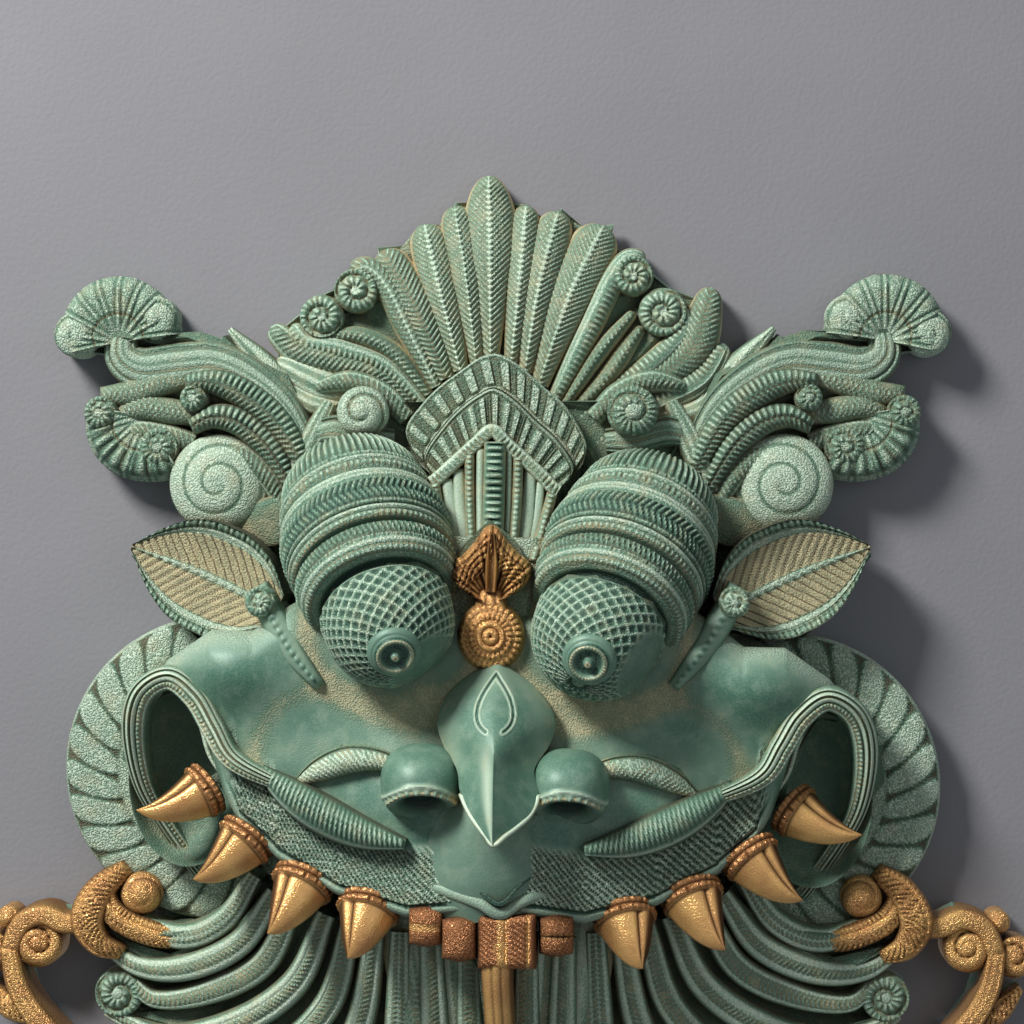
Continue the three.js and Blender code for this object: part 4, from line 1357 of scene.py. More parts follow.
@dataclass(frozen=True)
class Eye(Half):
    """A ball netted with diamonds at the end of a stack of chased rings, and its pupil.

    The two eyes differ, so each pair below is for the viewer's left and right.

    Attributes:
        radius: Radius of the ball.
        centres: Centre of the ball, (x, y, z).
        backs: Direction from the ball through the rings.
        gazes: Direction in which the pupil looks.
        worn: Direction of the smooth place on the ball.
        bare: Radius of that place.
        stand: How far the pupil's face stands off the ball.
        rings: The stack's outline behind the ball, (radius, distance back from its centre).
        iris: The pupil's outline, (radius, distance back from its face).
    """

    radius: float = 30.0
    centres: Sequence[Triple] = ((-50.4, -82.0, -107.8), (48.0, -82.0, -114.0))
    backs: Sequence[Triple] = ((-0.26, 0.63, 0.73), (0.29, 0.64, 0.71))
    gazes: Sequence[Triple] = ((0.16, -0.88, -0.45), (-0.12, -0.93, -0.35))
    worn: Sequence[Triple] = ((0.62, -0.39, -0.68), (0.78, -0.40, -0.48))
    bare: float = 20.0
    stand: float = 5.5
    rings: Sequence[Point] = (
        (30.8, 7), (30, 9.5), (28, 10.6), (27.4, 12), (28.6, 13.2), (33.5, 14.2), (36, 16.1), (37.5, 19.2),
        (38.5, 26.6), (38.5, 29.7), (34.5, 30.7), (34.5, 32.4), (38.5, 32.8), (40, 39.1), (40.5, 43.3),
        (41, 49.6), (40.5, 56.4), (39, 62.1), (36.5, 64.2), (38, 66.3), (37.5, 72.6), (36.5, 76.8),
        (35, 78.9), (33, 87.3), (28, 95.6), (20, 100.9), (8, 103.6), (0.2, 104.2),
    )
    iris: Sequence[Point] = (
        (0.2, 0), (1.8, 0.3), (2.3, 2.2), (3.0, 2.6), (6.4, 2.6), (7.0, 1.8), (8.6, 1.6), (9.4, 2.6),
        (10.2, 4.2), (11.4, 4.6), (12.6, 6.2), (13.0, 9), (12.6, 14), (9, 18),
    )

    def patches(self) -> list[Patch]:
        """The ball and rings are one turned form; the pupil is another that looks out and down."""
        pick = SIDES.index(self.side)
        pairs = (self.centres, self.backs, self.gazes, self.worn)
        centre, back, gaze, worn = (np.array(each[pick]) for each in pairs)
        gaze = unit(gaze)
        angle = np.linspace(0, np.pi / 2, 24)
        ball = [(self.radius * math.sin(a), -self.radius * math.cos(a)) for a in angle]
        ball[0] = (0.2, ball[0][1])
        quarter_turn = float(self.radius * np.pi / 2)
        profile = ball + list(self.rings)
        p = np.asarray(profile)
        length = length_along(p)

        def lane(start: float, stop: float, *rest: Work | float, **more: float) -> Lane:
            """A band placed by how far back it begins and ends."""
            return Lane(*(float(np.interp(v, p[:, 1], length)) for v in (start, stop)), *rest, **more)

        lanes = (
            Lane(3, quarter_turn + 8, Work.NET, 1.4, 6, 0, 0.95),
            lane(10.2, 13.6, Work.GROOVE, 1, dust=0, hollow=1),
            lane(14.6, 17.6, Work.BEADS, 1.3, 2.6, 0.5, 1),
            lane(18, 20.7, Work.SMOOTH, 0.9, dust=0, hollow=0.5),
            lane(20.9, 23.2, Work.BEADS, 1.1, 2.2, 0.2, 1),
            lane(23.6, 29.5, Work.ROPE, 1.5, 2.6, 0.1, 0.9, 0.3),
            lane(33, 36.6, Work.BEADS, 1.4, 2.8, 0.5, 1),
            lane(37, 39.3, Work.SMOOTH, 1.3, dust=0, hollow=0.5),
            lane(39.3, 40.2, Work.GROOVE, 0.8, dust=0, hollow=1),
            lane(40.2, 42.7, Work.BEADS, 1.2, 2.2, 0.2, 0.9),
            lane(43.3, 49.4, Work.ROPE, 1.6, 3.1, 0, 1, 0.5),
            lane(49.8, 56, Work.ROPE, 1.6, 3.1, 0, 1, -0.5),
            lane(56.9, 59.6, Work.SMOOTH, 1.3, dust=0.1, hollow=0.5),
            lane(59.8, 62.8, Work.SMOOTH, 1.3, dust=0.1, hollow=0.5),
            lane(66.3, 70.9, Work.BEADS, 1.5, 3, 0.4, 1),
            lane(71.6, 74, Work.SMOOTH, 1.2, dust=0.1, hollow=0.5),
            lane(74.3, 77.2, Work.BEADS, 1.2, 2.2, 0.1, 0.9),
            lane(77.8, 97.7, Work.FLUTES, 1.9, 3.2, 0.1, 1),
        )
        bare = (*(centre + self.radius * worn), self.bare)
        eye = Turned(
            tuple(centre), profile, tuple(back), lanes, step=0.6, around=0.7, hidden=0.34, grain=0.7,
            base=0.28, dusty=0.05, bare=bare,
        )
        marks = (
            cut(0.1, 1.4, -0.2, 1, 1), cut(3.6, 8, 0.5, 0), beads(8.8, 10.6, 0.6, 1.5, 1, 1),
            cut(11.2, 12.6, 0.5, 0, 1),
        )
        pupil = Turned(
            tuple(centre + gaze * (self.radius + self.stand)), self.iris, tuple(-gaze), marks, step=0.35,
            around=0.6, polish=0.9, grain=0.1, base=0.1, dusty=0.0,
        )
        return surfaces(eye, pupil)


# The lip's edge and the face's upper edge on the viewer's right, without the lean, each (x, z).
LIP_EDGE = np.array([
    (0, -243), (42, -249), (76, -241), (105, -226), (124, -210), (132, -196), (137, -181), (141, -165),
    (148, -152), (158, -146), (170, -150), (176, -158),
], dtype=float)
FACE_TOP = np.array([
    (0, -108), (30, -100), (60, -80), (100, -104), (118, -117), (138, -117), (160, -132), (176, -150),
], dtype=float)


def face_depth(x: np.ndarray, z: np.ndarray) -> np.ndarray:
    """Depth of the face: a broad vault, with a bulge for the muzzle and one along each cheek.

    The vault is 24 + 46 sqrt(1 - (|x| / 186)^3), and each bulge is a bell across it.

    Args:
        x: Where, to the viewer's right.
        z: Where, upwards.

    Returns:
        The depth at each point.
    """
    a, level = np.abs(x), z + LEAN * x
    wide = np.sqrt(np.clip(1 - (a / 186) ** 3, 0, 1))
    muzzle = 22 * gauss(a, 66) * (1 - smooth_step(-205, -150, level))
    cheek = 13 * gauss(a - 130, 30) * gauss(level + 135, 20)
    return 24 + 46 * wide + muzzle + cheek


def lip_line(x: np.ndarray) -> np.ndarray:
    """Height of the lip's edge."""
    return np.interp(np.abs(x), LIP_EDGE[:, 0], LIP_EDGE[:, 1]) - LEAN * x


def top_line(x: np.ndarray) -> np.ndarray:
    """Height of the face's upper edge."""
    return np.interp(np.abs(x), FACE_TOP[:, 0], FACE_TOP[:, 1]) - LEAN * x


def clear_of_hollow(points: np.ndarray) -> np.ndarray:
    """Moves points out of the hollow in the back, on to a skin just in front of it.

    The hollow follows the face's depth less a wall, and is shallower towards its edges.

    Args:
        points: Any array whose last axis is x, y and z.

    Returns:
        The points, brought forward where they were in the hollow.
    """
    x, y, z = (points[..., i] for i in range(3))
    low, high = lip_line(x) + 12, top_line(x) - 12
    t = (z - low) / (high - low)
    s = np.abs(x) / 122
    inside = (t > 0) & (t < 1) & (s < 1)
    edge = 14 * np.clip(np.maximum(1 - np.minimum(t, 1 - t) / 0.2, 1 - (1 - s) / 0.25), 0, 1)
    pocket = 26 * gauss(x, 22) * gauss(z + 172, 30)
    floor = np.minimum(face_depth(x, z), 72) - 9 - edge + pocket + 2.5
    out = points.copy()
    out[..., 1] = np.where(inside, np.minimum(y, -floor), y)
    return out


def distance_to(line: np.ndarray, x: np.ndarray, z: np.ndarray) -> np.ndarray:
    """Distance from each point to the nearest point of a line.

    Args:
        line: The line's points, each (x, z).
        x: The points' places to the right.
        z: Their places upwards.

    Returns:
        The distances.
    """
    near = np.full(x.shape, 1e9)
    for px, pz in line:
        near = np.minimum(near, np.hypot(x - px, z - pz))
    return near


@dataclass(frozen=True)
class Face:
    """Cheeks and upper lip: smooth above, and stippled in slanting rows along the lip's rolled edge.

    Attributes:
        half: Half of its width, and columns the points across it.
        band: Height of the stippled band.
        thick: Thickness of its outer edges.
        near: Height of the rows near the lip, 1 mm apart, and upper the rows above them.
        roll: How far the lip's edge rolls back and over what height, as top_roll is for the top.
        smear: Middle line of the dusty smear that runs down the cheek.
    """

    half: float = 172
    band: float = 33
    thick: float = 5
    columns: int = 340
    near: int = 40
    upper: int = 32
    roll: Point = (7, 5)
    top_roll: Point = (11, 13)
    smear: Sequence[Point] = ((116, -184), (114, -166), (103, -151), (82, -143), (56, -147))

    def patches(self) -> list[Patch]:
        """One surface over the whole face, with the marks laid along the lip by the distance from it."""
        x = np.linspace(-self.half, self.half, self.columns)[:, None]
        low, high = lip_line(x), top_line(x)
        near = np.arange(0, self.near, 1.0) / self.near
        t = np.concatenate([near * 0.4, np.linspace(0.4, 1, self.upper)[1:]])[None, :]
        share = np.clip(self.near / np.maximum(high - low, 1), 0, 0.55)
        t = np.where(t < 0.4, t / 0.4 * share, share + (t - 0.4) / 0.6 * (1 - share))
        z = low + (high - low) * t
        x = x + 0 * z
        slope, rise = (np.gradient(line[:, 0], x[:, 0])[:, None] for line in (low, high))
        off = (z - low) / np.sqrt(1 + slope**2)
        off = off + 20 * smooth_step(138, 150, np.abs(x))
        over = (high - z) / np.sqrt(1 + rise**2)
        run = length_along(np.stack([x[:, 0], low[:, 0]], axis=1))[:, None]
        lanes = (
            smooth(0.3, 4.6, 1.3),
            cut(4.8, 6.2, 0.9, 0, 1),
            Lane(6.4, 38, Work.WEAVE, 1.4, 3.2, 0.1, 0.8, 0.9),
        )
        height, hollow, dust = carve(lanes, run, off, np.ones((1, 1)))
        level, a = z + LEAN * x, np.abs(x)
        band = self.band - 12 * smooth_step(105, 130, a)
        fade = (1 - smooth_step(band - 4, band + 3, off)) * (1 - smooth_step(122, 134, a))
        height, hollow = height * fade, hollow * fade
        roll = 1 - quarter(off / self.roll[1])
        top_roll = 1 - quarter(np.minimum(over / self.top_roll[1], (self.half - a) / 8))
        depth = face_depth(x, z) + height - self.roll[0] * roll - self.top_roll[0] * top_roll
        socket = gauss(np.hypot(a - 49, level + 112) - 42, 8) * (level < -100)
        side = gauss(a - 36, 14) * gauss(level + 150, 18)
        stroke, _, _ = trace(self.smear, 2)
        patchy = gauss(distance_to(stroke, a, level), 6) + 0.5 * gauss(a - 88, 26) * gauss(level + 172, 9)
        brow = gauss(over, 7)
        dusty = np.clip(socket + 0.9 * side + 0.75 * patchy, 0, 1)
        polish = (1 - fade) * (1 - 0.65 * dusty) * (1 - 0.7 * brow)
        polish = np.maximum(polish, 0.6 * (1 - smooth_step(4.2, 5.5, off)))
        hollow = np.maximum(hollow, 0.62 * dusty)
        dust = np.maximum(dust, dusty)
        foot = self.thick - depth[:, [-1, 0]]
        return [closed(np.stack([x, -depth, z], axis=2), foot, hollow, dust, polish, 1 - 0.9 * polish)]


@dataclass(frozen=True)
class Nose:
    """A keeled beak with a tear-drop on its bridge, between two hooded nostrils.

    Attributes:
        top: Height of its root.
        length: From the root to the tip.
        axis: How far its keel lies to the right.
        left: Its width left of the keel, from root to tip.
        right: Its width right of the keel.
        ridge: Depth of the keel.
        side: Depth of its edges.
        drop: Half width of the tear-drop, the height of its top, its length, and the share of that
            length where it is widest.
        wing_at: Middle of a nostril, (x, y, z).
        wing_size: Its half width, half depth and half height.
    """

    top: float = -125
    length: float = 81
    axis: float = 0.5
    left: Values = (3, 17, 25, 28, 25, 18, 16, 10.5, 1.5)
    right: Values = (3, 14, 23.5, 28, 25, 18.5, 20.5, 16.5, 3)
    ridge: Values = (72, 84, 95, 104, 112, 118, 123, 127, 128)
    side: Values = (66, 69, 74, 79, 86, 98, 104, 114, 126)
    drop: Values = (8.6, -132.5, 26.5, 0.68)
    wing_at: Triple = (34.5, -84, -184.5)
    wing_size: Triple = (19.5, 26, 18.5)

    def beak(self) -> Patch:
        """The keel falls to its sides by |s|^p, with p from round at the bridge to sharp at the tip."""
        t = np.linspace(0, 1, 134)[:, None]
        s = np.linspace(-1, 1, 87)[None, :]
        left, right, ridge, side = (read(v, t) for v in (self.left, self.right, self.ridge, self.side))
        x = s * np.where(s < 0, left, right) + self.axis
        z = self.top - self.length * t - 1.5 * (1 - np.abs(s)) * smooth_step(0.8, 1, t)
        power = 1.8 - 0.9 * smooth_step(0.3, 0.62, t)
        depth = ridge + (side - ridge) * np.abs(s) ** power
        wide, high, long, most = self.drop
        u = np.linspace(0, 0.96, 70)
        round_end = np.sqrt(np.clip(1 - ((u - most) / (1 - most)) ** 2, 0, 1))
        drop = wide * np.where(u < most, np.sin(np.pi / 2 * u / most), round_end)
        edges = [np.stack([self.axis + way * drop, high - long * u], axis=1) for way in SIDES]
        near = distance_to(np.concatenate(edges), x, z)
        groove, pale = gauss(near, 0.45), gauss(near - 1.15, 0.42)
        depth = depth - 0.9 * groove + 0.6 * pale
        edge = 0.75 * smooth_step(0.5, 1.0, np.abs(s)) * (1 - smooth_step(0.45, 0.7, t))
        # Painted highlight: a pale strip on the left facet beside the keel, where the polish is lowered.
        worn = smooth_step(0.4, 0.66, t) * gauss(s + 0.16, 0.16) * smooth_step(0.02, -0.04, s)
        bridge = 0.35 * (1 - smooth_step(0.0, 0.3, t))
        polish = 0.97 * (1 - 0.9 * pale) * (1 - edge) * (1 - 0.8 * worn) * (1 - bridge)
        # Painted shade: the right facet is darkened through its hollow value.
        shade = 0.4 * smooth_step(0.0, 0.3, s) * smooth_step(0.35, 0.6, t)
        hollow = np.maximum(np.maximum(groove, shade), 0.5 * edge)
        top = np.stack(np.broadcast_arrays(x, -depth, z), axis=2)
        return closed(top, -60, hollow, np.clip(edge, 0, 0.9), polish, 0.05)

    def edge(self) -> Patch:
        """The pale bead along the beak's lower edges, which follows its own outline."""
        t = np.array([0.76, 0.82, 0.88, 0.93, 0.975])
        left, right, side = read(self.left, t), read(self.right, t), read(self.side, t)
        down = self.top - self.length * t
        path = list(zip(self.axis - left, down)) + [(self.axis + 0.4, self.top - self.length * 1.022)]
        path += list(zip(self.axis + right, down))[::-1]
        depth = list(side) + [127.0] + list(side)[::-1]
        return Strand(
            path, 2.4, [d - 0.4 for d in depth], 1.4, floor=80, across=0.4, grain=0.1, valley=1.0, dust=1.0,
        ).surface()

    def wing(self, side: int) -> Patch:
        """Makes a nostril: a ball pressed in under its hood by an oval hole, with beads on the hood's rim.

        The ball's radius is less inside the oval (u / 0.78)^2 + (v / tall)^2 = 1 round the hole's
        direction, and more in two bells round it.

        Args:
            side: 1 for the viewer's right and -1 for the left.

        Returns:
            The nostril.
        """
        a = np.linspace(0.02, np.pi - 0.02, 86)[:, None]
        b = np.linspace(0, 2 * np.pi, 130, endpoint=False)[None, :]
        n = np.stack(np.broadcast_arrays(np.sin(a) * np.cos(b), np.sin(a) * np.sin(b), np.cos(a)), axis=2)
        hole = unit(np.array([-0.05 * side, -0.84, -0.54]))
        across = unit(np.cross(hole, [0, 0, 1.0]))
        up = np.cross(across, hole)
        u, v = n @ across, n @ up
        rise = v + 0.10 + 0.25 * u * u
        tall = np.where(rise > 0, 0.52, 0.80)
        away = np.where(n @ hole > -0.2, np.hypot(u / 0.78, rise / tall), 9)
        pressed = 1 - 0.52 * (1 - smooth_step(0.64, 1.0, away))
        upper = smooth_step(-0.35, 0.0, v)
        around = np.arctan2(rise / 0.52, u / 0.78)
        studs = 0.5 + 0.5 * np.cos(30 * around)
        rim = 0.08 * gauss(away - 1.05, 0.10) * (0.2 + 0.8 * studs) + 0.05 * gauss(away - 1.25, 0.06)
        rim = rim * upper
        box = np.sign(n) * np.abs(n) ** np.array([0.84, 1.0, 0.86])
        points = box * (pressed + rim)[..., None] * np.array(self.wing_size)
        points = points + np.array(self.wing_at) * (side, 1, 1) - (0, 0, LEAN * 40 * side)
        # Painted shade: the pressed-in cavity under the hood is made dark.
        dark = 1 - smooth_step(0.72, 0.98, away)
        cream = gauss(away - 1.04, 0.12) * upper
        pale = gauss(away - 1.25, 0.06) * upper
        hollow = np.maximum(dark, cream * (1 - 0.8 * studs))
        polish = 0.97 * (1 - dark) * (1 - cream) * (1 - 0.8 * pale)
        return Patch(points, hollow, np.clip(cream * (1 - dark) * 1.2, 0, 1), polish, 0.05)

    def patches(self) -> list[Patch]:
        """Beak, nostrils, the furrowed lip under them and its waved edge."""
        lip = Strand(
            [(-2, -190), (-4, -205), (-4, -220), (0, -247)], (30, 52, 64, 66), (90, 88, 85, 81),
            (14, 14, 14, 11), floor=60, polish=0.85, grain=0.2, valley=0.0, blunt=(0, 0), ease=1.4,
        )
        bare = dict(floor=80, polish=0.6, valley=1.0, dust=0.0)
        wave = Strand(
            [(-36, -230), (-21, -234), (-7, -238.5), (2.7, -243.5), (12, -238.5), (21.5, -235.5),
             (30, -237)],
            (4, 6, 6.5, 6.5, 6.5, 6, 4), (83, 89, 93, 95, 93, 90, 85), 2.6, grain=0.4, **bare,
        )
        crease = Strand(
            [(-18, -229), (-8, -232), (2.7, -238.5), (12, -230.5), (17, -227)], (1, 1.8, 2, 1.8, 1),
            (92, 96.5, 98.5, 96.5, 92), 0.4, lanes=(cut(0, 1, 0.2, 0, 1),), grain=0.3, **bare,
        )
        return [self.beak(), self.edge(), *(self.wing(side) for side in SIDES),
                *surfaces(lip, wave, crease)]


@dataclass(frozen=True)
class Cheek(Half):
    """One mouth corner: its rolled, beaded rim, the moustache, the cheek's leaf and the bowl behind.

    Attributes:
        loop: Middle line of the rim.
        inner: Middle line of the fine line inside it.
        bowl: Middle of the bowl, (x, y, z).
    """

    loop: Sequence[Point] = (
        (92, -192), (110, -186), (127, -177), (136, -163), (145, -149), (158, -140.5), (172, -149),
        (177, -168), (174, -194), (163, -216), (147, -240),
    )
    inner: Sequence[Point] = (
        (131, -190), (139, -178), (144, -163), (151, -151.5), (160, -147.5), (168, -152), (173, -165),
        (172.5, -184), (167, -204), (157, -222), (147, -236),
    )
    bowl: Triple = (152, -22, -190)

    def patches(self) -> list[Patch]:
        """Every strand is laid on the face or sinks from it to the disc behind the corner."""
        s = self.side
        rim = (
            smooth(0, 0.17, 1.2), cut(0.17, 0.23, 0.9, 0.1, 1),
            smooth(0.23, 0.37, 1.2), cut(0.37, 0.43, 0.9, 0.3, 1),
            smooth(0.43, 0.56, 1.2), cut(0.56, 0.62, 0.9, 0.1, 1),
            beads(0.62, 0.84, 1.4, 2.3, 0.9, 1),
            smooth(0.86, 1, 1.6),
        )
        loop = self.strand(
            self.loop, (4, 8, 11, 12, 12, 12.5, 11, 9, 8.5, 8), (68, 70, 67, 63, 59, 52, 43, 35, 28, 22),
            (3, 5, 5, 5, 5, 4, 4), 2.8, rim, floor=18, step=0.5, across=0.5, blunt=(0.4, 0.4), grain=0.3,
            valley=0.4, lean=True,
        )
        line = self.strand(
            self.inner, (2, 3, 3, 3, 3, 3, 2), (54, 52, 46, 42, 36, 30, 26, 24), 2.2, floor=12,
            step=0.8, valley=0.5, dust=0.9, lean=True,
        )
        moustache = self.strand(
            [(113, -182), (101, -191), (84, -201), (64, -209), (42, -213)],
            (5, 16, 19, 15, 5), (1, 3, 4, 5, 8), (4, 9, 10, 8, 3), 2.0,
            (
                Lane(0, 0.2, Work.SMOOTH, 0.8, dust=0, hollow=0.9),
                Lane(0.22, 0.96, Work.ROPE, 1.5, 2.5, 0.05, 0.8, 0.25),
            ),
            floor=3, ground=face_depth, grain=0.3, polish=0.15, dust=0.1, valley=1.0, lean=True,
        )
        leaf = self.strand(
            [(44, -178), (56, -175), (70, -175.5), (84, -181), (97, -189)],
            (6, 11, 14, 11, 2), (1, 1, 1, 1, 0), (3, 6, 7, 5, 2), 2.0,
            (
                smooth(0, 0.07, 1.4),
                cut(0.07, 0.12, 0.8, 0, 1),
                Lane(0.14, 0.98, Work.WEAVE, 0.9, 2.4, 0.9, 0.8, 0.6),
            ),
            floor=3, ground=face_depth, valley=0.5, lean=True,
        )
        x, y, z = self.bowl
        bowl = Turned(
            (x * s, y, z - LEAN * x * s), ((0.1, 0), (12, -0.5), (22, -4), (29, -10), (33, -18), (33, 5)),
            squash=(0.88, 1.32), step=1.2, around=1.4, polish=0.5, grain=0.6, base=0.4, dusty=0.25,
        )
        return surfaces(loop, line, moustache, leaf, bowl)


@dataclass(frozen=True)
class Lobe(Half):
    """The disc behind a mouth corner, with long stippled leaves that run out to its rim.

    Attributes:
        profile: (radius, distance back) from inside the leaves to the rim.
    """

    profile: Sequence[Point] = ((40, -1), (46, -1), (60, -1), (70, -0.2), (74, 1.5), (75.5, 5), (75, 16))

    def patches(self) -> list[Patch]:
        """A low ring, cut into slanting leaves, whose inner edge is behind the face."""
        lanes = (Lane(8, 34, Work.LEAVES, 1.1, 14.5, 0.15, 0.9, 0.5 * self.side),)
        x = 141 * self.side
        dish = Turned((x, -20, -187 - LEAN * x), self.profile, lanes=lanes, step=0.9, around=1.0, grain=1.0)
        return surfaces(dish)


@dataclass(frozen=True)
class Ear(Half):
    """A cupped leaf with a beaded rim, and the beaded stalk that runs down beside the eye."""

    def patches(self) -> list[Patch]:
        """The leaf is a strand with a hollow camber; its veins slant from the midrib to the tip."""
        s = self.side
        lanes = (
            beads(0, 0.075, 1.8, 2.9, 0.1, 1),
            beads(0.925, 1, 1.8, 2.9, 0.1, 1),
            smooth(0.08, 0.12, 0.9),
            smooth(0.88, 0.92, 0.9),
            Lane(0.14, 0.86, Work.VEINS, 1.2, 5, 1, 1, 0.9),
            smooth(0.475, 0.525, 1),
        )
        leaf = self.strand(
            [(107, -104), (121, -97), (145, -86), (166, -78), (180, -73)],
            (18, 42, 53, 54, 48, 30, 3), (56, 53, 50, 47, 44, 40, 35), (-4, -9, -10, -9, -7, -4, 0), 2.2,
            lanes, floor=14, across=0.6, blunt=(0.1, 0), valley=0.0, grain=0.9,
        )
        stalk = self.strand(
            [(116, -92), (108, -106), (98, -122), (84, -139)], (11, 13, 11, 6), (58, 62, 68, 70), 5, 2,
            (Lane(0.36, 0.64, Work.FLUTES, 1.2, 4, 0, 0.8),), floor=30, polish=0.75, grain=0.2, dust=0.2,
            valley=0.6,
        )
        flutes = (Lane(0.2, 0.8, Work.FLUTES, 0.6, 2.2),)
        curl = Spiral((113 * s, -99), 7.5, 66, 1.4, 90, s, 2, flutes, floor=40, knob=1.6)
        bed = self.strand(
            [(98, -56), (114, -61), (132, -67)], (20, 24, 12), (27, 24, 18), 3, 2.0,
            (cut(0, 1, 0.3, 0.5, 0.6),), floor=8, grain=1,
        )
        return surfaces(leaf, stalk, curl, bed)


@dataclass(frozen=True)
class Wing(Half):
    """One horn with the two shells at its end and the domed disc below it."""

    def patches(self) -> list[Patch]:
        """Locks swept out from the brow, then the shells, then the volutes."""
        s = self.side
        lines = (
            smooth(0, 0.13, 0.8), cut(0.13, 0.19, 0.9, 0.2, 1),
            cut(0.36, 0.41, 0.8, 0.5, 0.9), cut(0.58, 0.63, 0.8, 0.5, 0.9),
            cut(0.79, 0.85, 0.9, 0.2, 1), smooth(0.87, 1, 0.8),
        )
        crescents = (
            Lane(0.04, 0.5, Work.FLUTES, 1.9, 2.9, 0.1, 1),
            Lane(0.54, 0.94, Work.ROPE, 1.5, 2.9, 0.2, 1, -0.6),
        )
        locks = (
            ([(94, -24), (105, -1), (118, 16), (135, 35)], (10, 15, 14, 3), (15, 16, 15, 13), 5,
             (cut(0.44, 0.56, 1),)),
            ([(92, -30), (106, -5), (124, 10), (142, 17.5), (160, 16.5), (178, 15), (188, 22), (187, 36)],
             (9, 13, 17, 20, 22, 23, 20, 12), (19, 21, 20, 18, 17, 16), 5, lines),
            ([(94, -38), (108, -13), (124, 1), (140, 8), (156, 8)], (10, 13, 15, 14, 8), (22, 24, 24, 22),
             6, crescents),
            ([(101, -45), (114, -24), (128, -12), (141, -9), (153, -14)], (9, 12, 14, 13, 8),
             (22, 24, 24, 22), 6, crescents),
            ([(106, -54), (116, -38), (128, -28), (143, -26)], (8, 11, 12, 8), (21, 22, 21, 19), 5, ROPE),
            ([(152, 11), (168, 8), (184, 3), (199, 2)], (10, 13, 13, 8), (17, 18, 18, 16), 4, LEAF),
            ([(150, -8), (164, -6), (178, -4), (190, -8)], (10, 13, 13, 8), (17, 18, 18, 16), 4, LEAF),
            ([(152, -22), (166, -18), (180, -16), (192, -20)], (10, 12, 12, 8), (16, 17, 17, 15), 4, ROPE),
            ([(46, -10), (58, 2), (74, 8), (92, 5)], (10, 12, 12, 6), (20, 22, 22, 19), 5, ROPE),
            ([(52, -21), (66, -20), (82, -16), (96, -20)], (12, 16, 16, 10), (22, 24, 24, 20), 5, lines),
            ([(84, -2), (90, -14), (97, -30), (104, -48)], (8, 12, 13, 10), (20, 22, 23, 22), 4, RIDGES),
        )
        parts = [
            self.strand(path, width, depth, camber, 2.0, lanes, step=0.5, blunt=(0, 0.5), dust=0.3,
                        grain=0.7, polish=0.4 * (lanes is lines))
            for path, width, depth, camber, lanes in locks
        ]
        rim = (Lane(0.55, 0.92, Work.FLUTES, 1.5, 4.6, 0.1, 0.9), cut(0.48, 0.53, 0.8, 0.4))
        ring = (cut(0.36, 0.41, 0.8, 0.5),)
        shells = (
            Shell((189 * s, 28), (30, 31, 33, 33, 31, 27), (facing(172, s), facing(-12, s)), 9,
                  (19, 22, 23, 22), lanes=ring, mark=0.5),
            Shell((176 * s, -8), (29, 32, 33, 33, 34), (facing(8, s), facing(-122, s)), 5, (18, 21, 22, 21),
                  0.8, rim, mark=0.5),
        )
        small = dict(knob=2, bulge=4, mark=0.6, grain=0.9)
        coils = (
            Spiral((171 * s, 40), 11, 19, 1.3, facing(40, s), s, 1.6, (), **small),
            Spiral((210 * s, 32), 11.5, 19, 1.4, facing(150, s), -s, 1.6, (), **small),
            Spiral((198 * s, -7), 8.5, 20, 1.4, facing(90, s), s, 1.8, COIL, **small),
            Spiral((151 * s, 0), 7, 25, 1.4, facing(90, s), s, 1.8, COIL, **small),
            Spiral((169 * s, -24), 10, 20, 1.5, facing(120, s), s, 1.8, COIL, **small),
            Spiral((139 * s, -42), 24.5, 22, 2.6, facing(115, s), s, 1.0, (), knob=3, bulge=8, mark=0.6,
                   grain=0.8),
            Spiral((66 * s - 1, -7), 12.5, 34, 1.5, facing(90, s), s, 2.2, COIL if s > 0 else (), floor=20,
                   knob=3.5, bulge=5, grain=0.9),
        )
        return surfaces(*parts, *shells, *coils)


